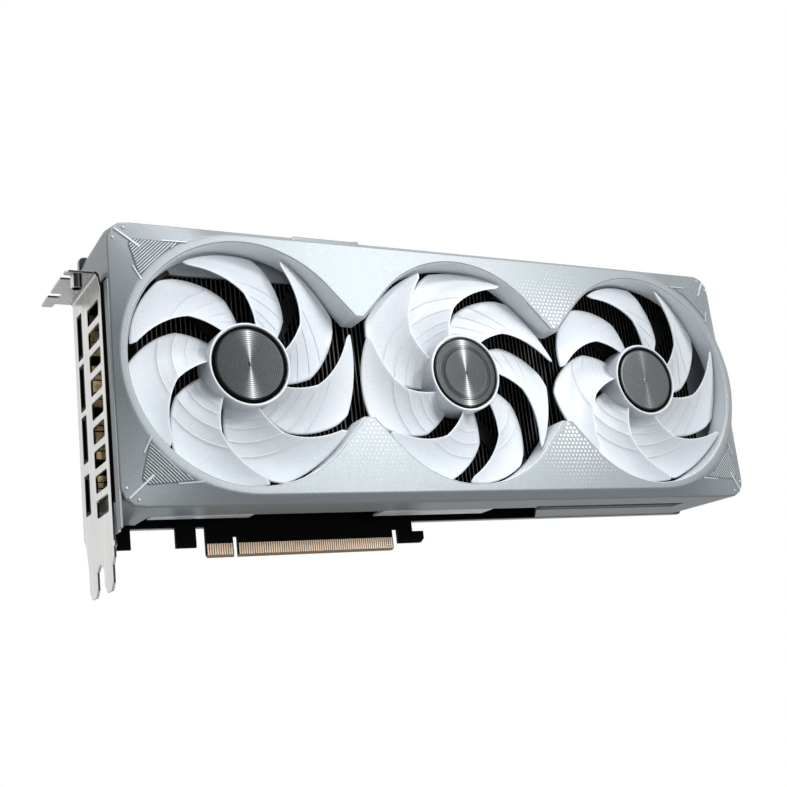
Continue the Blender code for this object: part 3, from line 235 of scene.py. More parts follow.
def addBlock(bm, low, high, edge=0.2, index=0):
    outer = roundLoop(rectangle((low[0], low[2]), (high[0], high[2])), edge, 2)
    addSheet(bm, outer, (), 1, low[1], high[1], edge, index)


# turns a closed profile of (radius, y) round the Y axis; indexes gives each stretch its finish
def addTurned(bm, profile, steps, centre=(0, 0), indexes=None):
    rings = []
    for radius, y in profile:
        if radius == 0:
            rings.append([bm.verts.new((centre[0], y, centre[1]))] * steps)
            continue
        rings.append([bm.verts.new((x, y, z)) for x, z in circle(centre, radius, steps)])
    for i, ring in enumerate(rings):
        following = rings[(i + 1) % len(rings)]
        if profile[i][0] or profile[(i + 1) % len(rings)][0]:
            band(bm, ring, following, indexes[i] if indexes else 0)


# a colour as it looks on screen, for a shader's socket
def tone(red, green, blue):
    def linear(value):
        value /= 255
        return value / 12.92 if value <= 0.04045 else ((value + 0.055) / 1.055) ** 2.4

    return (linear(red), linear(green), linear(blue), 1.0)


def addNode(finish, kind, **inputs):
    node = finish.node_tree.nodes.new(kind)
    for name, value in inputs.items():
        plug(finish, value, node.inputs[name.replace("_", " ")])
    return node


def plug(finish, value, socket):
    if isinstance(value, bpy.types.NodeSocket):
        finish.node_tree.links.new(value, socket)
    elif value is not None:
        socket.default_value = value


def shaderOf(finish):
    return finish.node_tree.nodes["Principled BSDF"]


def feed(finish, output, inputName):
    finish.node_tree.links.new(output, shaderOf(finish).inputs[inputName])


def mathNode(finish, operation, *values):
    node = addNode(finish, "ShaderNodeMath")
    node.operation = operation
    for socket, value in zip(node.inputs, values):
        plug(finish, value, socket)
    return node.outputs["Value"]


def mixColours(finish, factor, first, second):
    mix = addNode(finish, "ShaderNodeMix")
    mix.data_type = "RGBA"
    for name, value in (("Factor", factor), ("A", first), ("B", second)):
        plug(finish, value, mix.inputs[name])
    return mix.outputs["Result"]


# what all finishes share unless their own look says otherwise
plainLook = {
    "metal": 0.0, "specular": 0.5, "stretch": (1, 1, 1), "bump": 0.1,
    "bumpDepth": 0.1 * mm, "grainSpan": (0.35, 0.65), "grainDetail": 3.0,
    "wearSpan": (0.3, 0.7), "wearDetail": 2.0, "wearGrain": 0.21,  # wear's scale as a share of the grain's
}


# two close colours in a fine grain, with the gloss and the bump following grains of their own
def grainFinish(name, ownLook):
    look = {**plainLook, **ownLook}
    finish = bpy.data.materials.new(name)
    finish.use_nodes = True
    shader = shaderOf(finish)
    shader.inputs["Metallic"].default_value = look["metal"]
    shader.inputs["Specular IOR Level"].default_value = look["specular"]
    place = addNode(finish, "ShaderNodeTexCoord")
    stretch = addNode(finish, "ShaderNodeMapping", Vector=place.outputs["Object"], Scale=look["stretch"])
    spot = stretch.outputs["Vector"]
    scale, detail = look["grain"], look["grainDetail"]
    grain = addNode(finish, "ShaderNodeTexNoise", Vector=spot, Scale=scale, Detail=detail)
    ramp = addNode(finish, "ShaderNodeValToRGB", Fac=grain.outputs["Fac"])
    for stop, at, colour in zip(ramp.color_ramp.elements, look["grainSpan"], (look["dark"], look["light"])):
        stop.position = at
        stop.color = tone(*colour)
    feed(finish, ramp.outputs["Color"], "Base Color")
    scale, detail = look["grain"] * look["wearGrain"], look["wearDetail"]
    wear = addNode(finish, "ShaderNodeTexNoise", Vector=spot, Scale=scale, Detail=detail)
    gloss = addNode(
        finish, "ShaderNodeMapRange", Value=wear.outputs["Fac"], From_Min=look["wearSpan"][0],
        From_Max=look["wearSpan"][1], To_Min=look["rough"][0], To_Max=look["rough"][1],
    )
    feed(finish, gloss.outputs["Result"], "Roughness")
    pits = addNode(finish, "ShaderNodeTexNoise", Vector=spot, Scale=look.get("pits", look["grain"]))
    height = pits.outputs["Fac"]
    bump = addNode(finish, "ShaderNodeBump", Height=height, Strength=look["bump"], Distance=look["bumpDepth"])
    feed(finish, bump.outputs["Normal"], "Normal")
    finish["ramp"] = ramp.name
    return finish


def grainColour(finish):
    return finish.node_tree.nodes[finish["ramp"]].outputs["Color"]


finishLooks = {
    "silverMoulding": {
        "dark": (122, 129, 133), "light": (136, 143, 147), "grain": 2600, "rough": (0.385, 0.4),
        "metal": 0.36, "bump": 0.06, "pits": 3800,
    },
    # the duct walls: a paler, less metallic copy of the moulding, as painted light
    "silverDuctPaintedLight": {
        "dark": (208, 213, 217), "light": (218, 223, 226), "grain": 2400, "rough": (0.45, 0.5), "bump": 0.05,
    },
    "silverInsert": {
        "dark": (186, 192, 196), "light": (200, 206, 210), "grain": 2400, "rough": (0.34, 0.4),
        "metal": 0.3, "bump": 0.06,
    },
    "insertGroove": {
        "dark": (106, 110, 113), "light": (118, 122, 125), "grain": 2400, "rough": (0.5, 0.6),
        "bump": 0.05, "specular": 0.1,
    },
    "dotWhite": {
        "dark": (236, 242, 244), "light": (246, 250, 251), "grain": 1500, "rough": (0.3, 0.4), "bump": 0.05,
    },
    "fanWhite": {
        "dark": (212, 218, 224), "light": (218, 224, 230), "grain": 900, "rough": (0.3, 0.33),
        "bump": 0.03, "pits": 1200,
    },
    "turnedMetal": {
        "dark": (38, 40, 41), "light": (43, 45, 46), "grain": 900, "rough": (0.28, 0.3),
        "metal": 1.0, "bump": 0.01,
    },
    # a brighter copy of turnedMetal for the tail fan's disc, as painted light
    "turnedTailPaintedLight": {
        "dark": (84, 87, 88), "light": (92, 95, 96), "grain": 900, "rough": (0.28, 0.3),
        "metal": 1.0, "bump": 0.01,
    },
    "hubBlack": {
        "dark": (4, 4, 5), "light": (7, 7, 8), "grain": 800, "rough": (0.5, 0.6), "bump": 0.02,
        "specular": 0.02,
    },
    "finBlack": {
        "dark": (6, 6, 7), "light": (11, 11, 12), "grain": 700, "rough": (0.5, 0.62),
        "bump": 0.05, "specular": 0.05,
    },
    # the air guide, painted pale grey as painted light where it lies in shade
    "guideGreyPaintedLight": {
        "dark": (206, 210, 213), "light": (218, 222, 225), "grain": 900, "rough": (0.45, 0.55), "bump": 0.08,
    },
    "darkPlastic": {
        "dark": (26, 27, 28), "light": (34, 35, 36), "grain": 1100, "rough": (0.45, 0.55), "bump": 0.1,
        "specular": 0.15,
    },
    "bracketSteel": {
        "dark": (200, 200, 198), "light": (216, 216, 214), "grain": 900, "rough": (0.24, 0.34),
        "metal": 1.0, "stretch": (1, 1, 0.06), "bump": 0.05,
    },
    "shellBrass": {
        "dark": (176, 152, 104), "light": (212, 190, 140), "grain": 700, "rough": (0.26, 0.38),
        "metal": 1.0, "bump": 0.06,
    },
    "portBlack": {
        "dark": (5, 5, 6), "light": (10, 10, 11), "grain": 900, "rough": (0.5, 0.6), "bump": 0.05,
        "specular": 0.06,
    },
    "boardBlack": {
        "dark": (4, 4, 5), "light": (8, 8, 9), "grain": 1800, "rough": (0.42, 0.52), "bump": 0.05,
        "specular": 0.03,
    },
    "contactCopper": {
        "dark": (240, 211, 182), "light": (248, 222, 196), "grain": 1200, "rough": (0.34, 0.42),
        "metal": 0.25, "bump": 0.03,
    },
    "backplateBlack": {
        "dark": (20, 21, 22), "light": (30, 31, 33), "grain": 900, "rough": (0.4, 0.5),
        "specular": 0.2, "bump": 0.06,
    },
    "braceSteel": {
        "dark": (150, 154, 157), "light": (168, 172, 175), "grain": 900, "rough": (0.34, 0.44),
        "metal": 0.8, "stretch": (1, 1, 0.06), "bump": 0.05,
    },
    "pipeCopper": {
        "dark": (176, 112, 78), "light": (198, 130, 94), "grain": 500, "rough": (0.26, 0.36), "metal": 1.0,
        "bump": 0.04,
    },
    "chipBlack": {
        "dark": (20, 20, 21), "light": (30, 30, 31), "grain": 1600, "rough": (0.5, 0.6), "bump": 0.08,
    },
    "substrateGreen": {
        "dark": (24, 40, 34), "light": (32, 50, 42), "grain": 1500, "rough": (0.4, 0.5), "bump": 0.04,
    },
    "dieMirror": {
        "dark": (96, 98, 102), "light": (108, 110, 116), "grain": 300, "rough": (0.08, 0.14), "metal": 0.9,
        "bump": 0.01,
    },
    "chokeGrey": {
        "dark": (70, 72, 74), "light": (86, 88, 90), "grain": 1400, "rough": (0.5, 0.6), "bump": 0.1,
    },
    "screwSteel": {
        "dark": (130, 131, 133), "light": (156, 157, 159), "grain": 900, "rough": (0.28, 0.38), "metal": 1.0,
        "bump": 0.04,
    },
    "magnetDark": {
        "dark": (38, 36, 34), "light": (52, 50, 48), "grain": 1500, "rough": (0.55, 0.65), "bump": 0.1,
    },
    "windingCopper": {
        "dark": (150, 84, 44), "light": (190, 116, 66), "grain": 420, "rough": (0.3, 0.42), "metal": 0.8,
        "stretch": (1, 6, 1), "bump": 0.2,
    },
}
finishes = {name: grainFinish(name, look) for name, look in finishLooks.items()}


# a second colour where the surface's direction, or its place, lies under a limit: a painted highlight on the
# fins' forward-facing edges, dark grey on the bracket's forward-facing edges, and bare laminate along the
# board's foot
secondTones = {
    # painted highlight: the fins' edges that face forward are grey
    "finBlack": {"by": "Normal", "axis": "Y", "under": -0.8, "colour": (92, 92, 92)},
    # the bracket's edges that face forward are drawn dark grey
    "bracketSteel": {"by": "Normal", "axis": "Y", "under": -0.75, "colour": (44, 44, 44)},
    "boardBlack": {"by": "Object", "axis": "Z", "under": 1.0 * mm, "colour": (150, 138, 112)},
}


def addSecondTone(finish, look):
    source = "ShaderNodeTexCoord" if look["by"] == "Object" else "ShaderNodeNewGeometry"
    parts = addNode(finish, "ShaderNodeSeparateXYZ", Vector=addNode(finish, source).outputs[look["by"]])
    under = mathNode(finish, "LESS_THAN", parts.outputs[look["axis"]], look["under"])
    feed(finish, mixColours(finish, under, grainColour(finish), tone(*look["colour"])), "Base Color")


turnedLook = {
    "pitch": 0.85,  # between two lathe marks
    "lineDepth": 0.3,
    "lineTone": (14, 14, 15),
    "paintedHighlightTone": (128, 132, 133),
    "paintedHighlightPower": 9.0,  # a higher power makes a narrower painted highlight
}


# lathe marks: fine rings round the disc's own axis, and a painted highlight, a bright streak up and down
# through the centre
def turnDisc(finish):
    look = turnedLook
    place = addNode(finish, "ShaderNodeTexCoord")
    flat = addNode(finish, "ShaderNodeMapping", Vector=place.outputs["Object"], Scale=(1, 0, 1))
    parts = addNode(finish, "ShaderNodeSeparateXYZ", Vector=flat.outputs["Vector"])
    size = addNode(finish, "ShaderNodeVectorMath", Vector=flat.outputs["Vector"])
    size.operation = "LENGTH"
    radius = mathNode(finish, "MAXIMUM", size.outputs["Value"], 0.1 * mm)
    aside = mathNode(finish, "DIVIDE", mathNode(finish, "ABSOLUTE", parts.outputs["X"]), radius)
    paintedHighlight = mathNode(finish, "POWER", mathNode(finish, "SUBTRACT", 1.0, aside), look["paintedHighlightPower"])
    wave = mathNode(finish, "SINE", mathNode(finish, "MULTIPLY", radius, 2 * math.pi / (look["pitch"] * mm)))
    lines = mathNode(finish, "MULTIPLY_ADD", wave, look["lineDepth"], look["lineDepth"])
    # mixes in the painted highlight, a bright streak that stands in for the lamps' reflection
    highlighted = mixColours(finish, paintedHighlight, grainColour(finish), tone(*look["paintedHighlightTone"]))
    feed(finish, mixColours(finish, lines, highlighted, tone(*look["lineTone"])), "Base Color")


for name, look in secondTones.items():
    addSecondTone(finishes[name], look)
for name in ("turnedMetal", "turnedTailPaintedLight"):
    turnDisc(finishes[name])
print("finishes made,", len(finishes))

shroudLook = {
    "deckTop": (119.95, 121.0),  # the face's top edge, at the bracket end and at the tail
    "deckBottom": (15.8, 16.3),
    "sideRing": (52.6, 51.5),  # radius of the rim round the end fans, at its side
    "creaseDepth": 3.2,  # how far the corner plates tilt back
    "middleY": -30.0,
    "outlines": (
        {"x": (-95.7, 205.2), "z": (12.6, 122.7), "corner": 7.6},  # crease round the face
        {"x": (-94.8, 205.5), "z": (12.7, 126.0), "corner": 7.6},  # walls behind it
        {"x": (-93.4, 206.0), "z": (13.0, 126.5), "corner": 8.0},  # back edge
    ),
    "bulge": 0.3,  # the crease stays at least this far outside the rim
    "deckEdge": 0.6,  # rounding along the deck's edge
    "creaseEdge": 0.8,
    "roundOver": (50, 90),  # degrees up from level, between which the rim's radius changes
    "mouth": (0.9, 1.2),  # rounding of the openings, across and deep
    "mouthSteps": 8,
    "shell": 2.0,
    "ductDepth": 11.0,
    "ductWall": 1.5,
    "paintedLightFrom": 0.4,  # share of the mouth's rounding where the duct's painted light starts
    "paintedLightSlope": 0.7,
    "openingShift": -0.6,  # the openings sit this far along X from the fans
    "webTip": 5.0,
    "webGap": 41.6,
    "step": 3.0,  # longest stretch between sections
    "lean": 2.6,  # the face stands this much further forward at the bracket end
    "leanSpan": (-90.0, 200.0),
    "leanFade": 11.0,
}
cornerPlaces = {
    "corner_insert_upper_left": (-1, 1),
    "corner_insert_lower_left": (-1, -1),
    "corner_insert_lower_right": (1, -1),
    "corner_insert_upper_right": (1, 1),
}


def leanForward(x, y):
    look = shroudLook
    low, high = look["leanSpan"]
    share = clamp((card["deckY"] + look["leanFade"] - y) / look["leanFade"])
    return y - look["lean"] * clamp((high - x) / (high - low)) * share


def leanMesh(mesh):
    for vert in mesh.vertices:
        vert.co.y = leanForward(vert.co.x / mm, vert.co.y / mm) * mm


def mixPoints(a, b, share):
    return tuple(a[i] + (b[i] - a[i]) * share for i in range(len(a)))


# a place near one corner, counted outward from the end fan's centre
def cornerSpot(side, rise, across, up):
    return (card["fanXs"][0 if side < 0 else -1] + side * across, card["fanZ"] + rise * up)


# radius of the rim in one direction from the end fan's centre, from level (0) to upright
def ringRadius(side, rise, angle):
    look = shroudLook
    end = 0 if side < 0 else 1
    level = look["sideRing"][end]
    upright = abs((look["deckTop"] if rise > 0 else look["deckBottom"])[end] - card["fanZ"])
    start, stop = look["roundOver"]
    share = clamp((math.degrees(angle) - start) / (stop - start))
    return level + (upright - level) * share * share * (3 - 2 * share)


# distance from the end fan's centre to one of the rounded outlines
def outlineReach(outline, side, rise, angle, inset):
    x = abs(outline["x"][0 if side < 0 else 1] - card["fanXs"][0 if side < 0 else -1]) - inset
    z = abs(outline["z"][0 if rise < 0 else 1] - card["fanZ"]) - inset
    radius = outline["corner"] - inset
    c, s = math.cos(angle), math.sin(angle)
    if s * x <= (z - radius) * c:
        return x / c
    if c * z <= (x - radius) * s:
        return z / s
    along = c * (x - radius) + s * (z - radius)
    return along + math.sqrt(along ** 2 - (x - radius) ** 2 - (z - radius) ** 2 + radius ** 2)


# matching points on the rim and on the three outlines, in one direction
def cornerSection(side, rise, angle, inset):
    look = shroudLook
    ring = ringRadius(side, rise, angle) - inset
    reaches = [ring]
    for k, outline in enumerate(look["outlines"]):
        least = ring + look["bulge"] if k < 2 else 0
        reaches.append(max(least, outlineReach(outline, side, rise, angle, inset)))
    return [cornerSpot(side, rise, r * math.cos(angle), r * math.sin(angle)) for r in reaches]


# how far back the tilted corner plate lies at a place
def plateY(side, rise, across, up):
    section = cornerSection(side, rise, math.atan2(up, across), 0.0)
    centre = cornerSpot(side, rise, 0, 0)
    ring, crease = math.dist(section[0], centre), math.dist(section[1], centre)
    share = clamp((math.hypot(across, up) - ring) / (crease - ring))
    return card["deckY"] + shroudLook["creaseDepth"] * share


def onPlate(side, rise, across, up, lift=0.0):
    x, z = cornerSpot(side, rise, across, up)
    return Vector((x, plateY(side, rise, across, up) - lift, z))


def shroudSections(inset):
    sections = []
    for side, rise in ((-1, 1), (-1, -1), (1, -1), (1, 1)):
        turns = [math.radians(90 - 3 * k) for k in range(30)]
        if side * rise > 0:
            turns = [0.0] + turns[::-1]
        sections += [cornerSection(side, rise, angle, inset) for angle in turns]
    return sections


# splits the long stretches; the split is settled on the outside and reused for the inside
def splitCounts(sections):
    counts = []
    for i, section in enumerate(sections):
        following = sections[(i + 1) % len(sections)]
        longest = max(math.dist(a, b) for a, b in zip(section, following))
        counts.append(max(1, math.ceil(longest / shroudLook["step"])))
    return counts


def splitSections(sections, counts):
    fine = []
    for i, section in enumerate(sections):
        following = sections[(i + 1) % len(sections)]
        for k in range(counts[i]):
            fine.append([mixPoints(a, b, k / counts[i]) for a, b in zip(section, following)])
    return fine


# one section from the deck over the tilted plate to the wall's back edge
# inner is where the deck starts to round
def sectionPoints(section, inner):
    look = shroudLook
    y = card["deckY"]
    levels = (y, y + look["creaseDepth"], look["middleY"], card["backY"])
    deck, crease, middle, back = (Vector((x, level, z)) for (x, z), level in zip(section, levels))
    start = Vector((inner[0], y, inner[1]))
    down, away = (crease - deck).normalized(), (middle - crease).normalized()
    points = [bend(start, deck, deck + down * look["deckEdge"], k / 4) for k in range(5)]
    above, below = crease - down * look["creaseEdge"], crease + away * look["creaseEdge"]
    points += [bend(above, crease, below, k / 5) for k in range(6)]
    return points + [middle, back]


# the three joined fan openings as one loop, grown outward
def openingLoop(grow):
    look = shroudLook
    radius = card["openingRadius"] + grow
    pitch = card["fanXs"][1] - card["fanXs"][0]
    tipHalf = look["webTip"] / 2 - grow
    tipZ = look["webGap"] / 2 + grow
    across = pitch / 2 - tipHalf
    tangent = math.atan2(tipZ, across) + math.acos(radius / math.hypot(across, tipZ))
    xs = [x + look["openingShift"] for x in card["fanXs"]]
    z = card["fanZ"]
    webs = [(xs[0] + xs[1]) / 2, (xs[1] + xs[2]) / 2]
    loop = []
    for i in (1, 2):
        loop += [(webs[i - 1] - tipHalf, z - tipZ), (webs[i - 1] + tipHalf, z - tipZ)]
        stop = (2 if i == 1 else 3) * math.pi - tangent
        loop += arc((xs[i], z), radius, math.pi + tangent, stop, 40 if i == 1 else 120)
    for i in (1, 0):
        loop += [(webs[i] + tipHalf, z + tipZ), (webs[i] - tipHalf, z + tipZ)]
        stop = (1 if i == 1 else 2) * math.pi - tangent
        loop += arc((xs[i], z), radius, tangent, stop, 40 if i == 1 else 120)
    return loop


def linkHelper(name, bm):
    helper = bpy.data.objects.new(name, meshFrom(name, bm))
    scene.collection.objects.link(helper)
    return helper


def cutWith(target, cutter):
    cut = target.modifiers.new(cutter.name, "BOOLEAN")
    cut.solver = "EXACT"
    cut.object = cutter


# the moulding as a solid block with the fan openings
def shroudBlock():
    look = shroudLook
    y = card["deckY"]
    sections = shroudSections(0.0)
    sections = splitSections(sections, splitCounts(sections))
    inner = insetLoop([section[0] for section in sections], look["deckEdge"])
    profiles = [sectionPoints(section, spot) for section, spot in zip(sections, inner)]
    bm = bmesh.new()
    rows = [[bm.verts.new(points[k]) for points in profiles] for k in range(len(profiles[0]))]
    skin(bm, rows, closed=False)
    across, deep = look["mouth"]
    openings = []
    for k in range(look["mouthSteps"] + 1):
        angle = math.pi / 2 * k / look["mouthSteps"]
        grow, level = across * (1 - math.sin(angle)), y + deep * (1 - math.cos(angle))
        openings.append(ringAt(bm, openingLoop(grow), 1, level))
    openings.append(ringAt(bm, openingLoop(0), 1, y + look["ductDepth"]))
    openings.append(ringAt(bm, openingLoop(0), 1, card["backY"]))
    skin(bm, openings, closed=False)
    fillFlat(bm, [rows[0], openings[0]], (0, 2))
    fillFlat(bm, [rows[-1], openings[-1]], (0, 2))
    return linkHelper("shroudBlock", bm)


def shroudCavity():
    look = shroudLook
    shell = look["shell"]
    sections = splitSections(shroudSections(shell), splitCounts(shroudSections(0.0)))
    front = card["deckY"]
    levels = (front + shell, front + look["creaseDepth"] + shell / 2, look["middleY"], card["backY"] + 2.0)
    bm = bmesh.new()
    rows = []
    for k, level in enumerate(levels):
        rows.append([bm.verts.new((section[k][0], level, section[k][1])) for section in sections])
    skin(bm, rows, closed=False)
    fillFlat(bm, [rows[0]], (0, 2))
    fillFlat(bm, [rows[-1]], (0, 2))
    return linkHelper("shroudCavity", bm)


# the openings cut in the walls: X spans at the front and at the back of each, then its Y and Z spans
cutouts = {
    "underside": {"x": ((-79.6, 97.5), (-79.6, 116.26)), "y": (-23.6, 5.1), "z": (10.0, 18.8)},
    "bracketSide": {"x": ((-98.0, -88.075), (-98.0, -88.075)), "y": (-36.8, 5.1), "z": (21.0, 101.0)},
    "powerTop": {"x": ((63.025, 93.025), (63.025, 93.025)), "y": (-10.0, 5.1), "z": (122.5, 129.0)},
    "tailSlit": {"x": ((95.4, 180.7), (101.0, 180.7)), "y": (-26.8, -17.2), "z": (10.0, 18.8)},
    "boardSlot": {"x": ((-97.0, 90.0), (-97.0, 90.0)), "y": (-5.8, 5.1), "z": (10.0, 18.8)},
}


def makeShroud():
    look = shroudLook
    block = shroudBlock()
    cavity = shroudCavity()
    bm = bmesh.new()
    y = card["deckY"]
    rings = [ringAt(bm, openingLoop(look["ductWall"]), 1, level) for level in (y - 2, y + look["ductDepth"])]
    skin(bm, rings, closed=False)
    fillFlat(bm, [rings[0]], (0, 2))
    fillFlat(bm, [rings[1]], (0, 2))
    duct = linkHelper("shroudDuct", bm)
    cutWith(cavity, duct)
    cutWith(block, cavity)
    helpers = [block, cavity, duct]
    for name, cut in cutouts.items():
        bm = bmesh.new()
        low, high = cut["z"]
        rings = []
        for (left, right), level in zip(cut["x"], cut["y"]):
            rings.append(ringAt(bm, rectangle((left, low), (right, high)), 1, level))
        skin(bm, rings)
        cutter = linkHelper(name, bm)
        cutWith(block, cutter)
        helpers.append(cutter)
    bpy.context.view_layer.update()
    shaped = block.evaluated_get(bpy.context.evaluated_depsgraph_get())
    mesh = bpy.data.meshes.new_from_object(shaped)
    for helper in helpers:
        bpy.data.objects.remove(helper)
    mesh.name = "shroudShell"
    leanMesh(mesh)
    # the walls inside the fan openings are painted paler and less metallic, as painted light on walls that
    # lie in shade
    edge = openingLoop(look["mouth"][0] * look["paintedLightFrom"])
    for face in mesh.polygons:
        x, y, z = face.center / mm
        upright = abs(face.normal.y) < look["paintedLightSlope"]
        if upright and y < card["deckY"] + look["ductDepth"] and insideLoop((x, z), edge):
            face.material_index = 1
    looks = ("silverMoulding", "silverDuctPaintedLight")
    evenNormals(placePiece("shroudShell", mesh, looks, "card", ["shroud"], sharp=28))


makeShroud()
print("shroud made")

# ribbed plates in the corners, counted outward from the end fan's centre
insertLook = {
    "rim": 53.1,
    "turns": (35.8, 61.0),  # degrees of the two pointed legs
    "reach": 46.3,
    "top": 47.6,
    "rounding": 3.0,
    "floor": 0.1,
    "sink": 0.2,
    "edgeInset": 0.12,  # bevel round the plate's top
    "edgeDrop": 0.08,
    "mesh": 1.4,  # spacing of the points that let the plate follow the moulding
    "meshFrom": (24.0, 29.0),
    "meshCount": (17, 15),
    "meshMargin": 0.6,
    "ribs": 40,
    "ribPitch": 0.95,
    "ribWidth": 0.44,
    "ribHeight": 0.3,
    "ribMargin": 0.35,
    "shortestRib": 0.9,
}


# outline of a corner insert, drawn inward by a true inset so that its pointed legs stay clean
def insertLoop(inset=0.0):
    look = insertLook
    reach, top, rounding, rim = look["reach"], look["top"], look["rounding"], look["rim"]
    corner = [Vector((reach, top - rounding)), Vector((reach, top)), Vector((reach - rounding, top))]
    tips = []
    for degrees, far, turn in ((look["turns"][0], corner[0], 1), (look["turns"][1], corner[2], -1)):
        angle = math.radians(degrees)
        tip = Vector((math.cos(angle), math.sin(angle))) * rim
        along = (far - tip).normalized()
        normal = Vector((-along.y, along.x)) * turn
        foot = tip + normal * inset
        run = foot.dot(along)
        reachOut = math.sqrt(run * run - foot.dot(foot) + (rim + inset) ** 2) - run
        tips.append(foot + along * reachOut)
        far += normal * inset
    corner[1] -= Vector((inset, inset))
    turns = [math.atan2(tip.y, tip.x) for tip in tips]
    local = arc((0, 0), rim + inset, turns[0], turns[1], 24)
    return local + [tuple(bend(corner[2], corner[1], corner[0], k / 6)) for k in range(7)]


# stretches of a line that lie inside a loop
def spansInside(loop, start, along):
    hits = []
    normal = Vector((-along.y, along.x))
    for i, point in enumerate(loop):
        a, b = Vector(loop[i - 1]) - start, Vector(point) - start
        da, db = a.dot(normal), b.dot(normal)
        if (da > 0) != (db > 0):
            hits.append((a + (b - a) * (da / (da - db))).dot(along))
    hits.sort()
    return list(zip(hits[::2], hits[1::2]))


ribLook = {"step": 1.6, "sink": 0.15, "topShare": 0.55}


# a raised line that follows a corner plate
def addRib(bm, side, rise, start, stop, width, height, base=0.0):
    look = ribLook
    start, stop = Vector(start), Vector(stop)
    along = (stop - start).normalized()
    across = Vector((-along.y, along.x)) * width / 2
    count = max(1, math.ceil((stop - start).length / look["step"]))
    top, foot = look["topShare"], base - look["sink"]
    section = ((-1, foot), (-1, base), (-top, base + height), (top, base + height), (1, base), (1, foot))
    rows = []
    for k in range(count + 1):
        middle = start.lerp(stop, k / count)
        spots = [(middle + across * share, lift) for share, lift in section]
        rows.append([bm.verts.new(onPlate(side, rise, spot.x, spot.y, lift)) for spot, lift in spots])
    skin(bm, rows)


def makeInsert(name, side, rise):
    look = insertLook
    bm = bmesh.new()
    floor, foot = look["floor"], -look["sink"]
    rings = []
    for inset, lift in ((look["edgeInset"], floor), (0.0, floor - look["edgeDrop"]), (0.0, foot)):
        rings.append([bm.verts.new(onPlate(side, rise, x, z, lift)) for x, z in insertLoop(inset)])
    skin(bm, rings, 1, closed=False)
    inner = insertLoop(look["meshMargin"])
    (left, low), (columns, rows) = look["meshFrom"], look["meshCount"]
    spots = [(left + look["mesh"] * i, low + look["mesh"] * k) for i in range(columns) for k in range(rows)]
    spots = [spot for spot in spots if insideLoop(spot, inner)]
    for ring, lift in ((rings[0], floor), (rings[2], foot)):
        fillFlat(bm, [ring], (0, 2), [bm.verts.new(onPlate(side, rise, x, z, lift)) for x, z in spots], 1)
    corner = Vector((look["reach"], look["top"]))
    inward = -corner.normalized()
    along = Vector((-inward.y, inward.x))
    edge = insertLoop(look["ribMargin"])
    for k in range(look["ribs"]):
        start = corner + inward * look["ribPitch"] * (k + 0.5)
        for low, high in spansInside(edge, start, along):
            if high - low > look["shortestRib"]:
                ends = (start + along * low, start + along * high)
                addRib(bm, side, rise, *ends, look["ribWidth"], look["ribHeight"], floor)
    pieceName = name.replace("corner_insert", "ribbedInsert")
    piece = newPiece(pieceName, bm, ("silverInsert", "insertGroove"), "card", [name])
    leanMesh(piece.data)


for insertName, (side, rise) in cornerPlaces.items():
    makeInsert(insertName, side, rise)

# raised details of each corner plate, counted from the end fan's centre or in from the crease's corner
trimLook = {
    "ridgeFrom": (2.9, 3.2),
    "ridgeTo": (42.0, 44.0),
    "ridge": (1.2, 0.45),  # width and height
    "pins": ((6.4, 2.7), (2.1, 7.0)),
    "pinRadius": 0.6,
    "legs": (((33.3, 47.3), (23.6, 46.9)), ((45.3, 36.0), (42.6, 30.2))),
    "leg": (0.8, 0.4),
}


def makeTrim():
    look = trimLook
    bm = bmesh.new()
    for side, rise in cornerPlaces.values():
        crease = shroudLook["outlines"][0]
        centre = cornerSpot(side, rise, 0, 0)
        reach = abs(crease["x"][0 if side < 0 else 1] - centre[0])
        top = abs(crease["z"][0 if rise < 0 else 1] - centre[1])
        start = (reach - look["ridgeFrom"][0], top - look["ridgeFrom"][1])
        addRib(bm, side, rise, start, look["ridgeTo"], *look["ridge"])
        for inX, inZ in look["pins"]:
            addDome(bm, onPlate(side, rise, reach - inX, top - inZ), look["pinRadius"])
        for start, stop in look["legs"]:
            addRib(bm, side, rise, start, stop, *look["leg"])
    leanMesh(newPiece("shroudTrim", bm, ["silverInsert"], "card").data)


def addDome(bm, centre, radius, squash=0.8, steps=12):
    rings = []
    for angle in (0, 30, 60):
        r = radius * math.cos(math.radians(angle))
        lift = radius * squash * math.sin(math.radians(angle))
        spots = circle((centre[0], centre[2]), r, steps)
        rings.append([bm.verts.new((x, centre[1] - lift, z)) for x, z in spots])
    skin(bm, rings)


makeTrim()

# white dots on the webs, largest at each web's tip and smaller further off
dotLook = {
    "pitch": 2.0,
    "rowShare": 0.866,  # rows lie this share of the pitch apart, every other one moved by half
    "height": 0.12,
    "sink": 0.05,
    "shoulder": 0.6,  # share of the height at which the top rounds in
    "topShare": 0.62,
    "margin": 1.6,  # kept free round the openings
    "span": (18.5, 118.5),
    "smallest": 0.16,
    "fade": 1.12,
    "flatten": 1.1,
    "patches": (
        {"tip": (105.575, 88.7), "size": 0.66, "reach": 36.0},
        {"tip": (107.575, 47.1), "size": 0.68, "reach": 36.0},
        {"tip": (7.275, 47.1), "size": 0.42, "reach": 40.0},
    ),
}


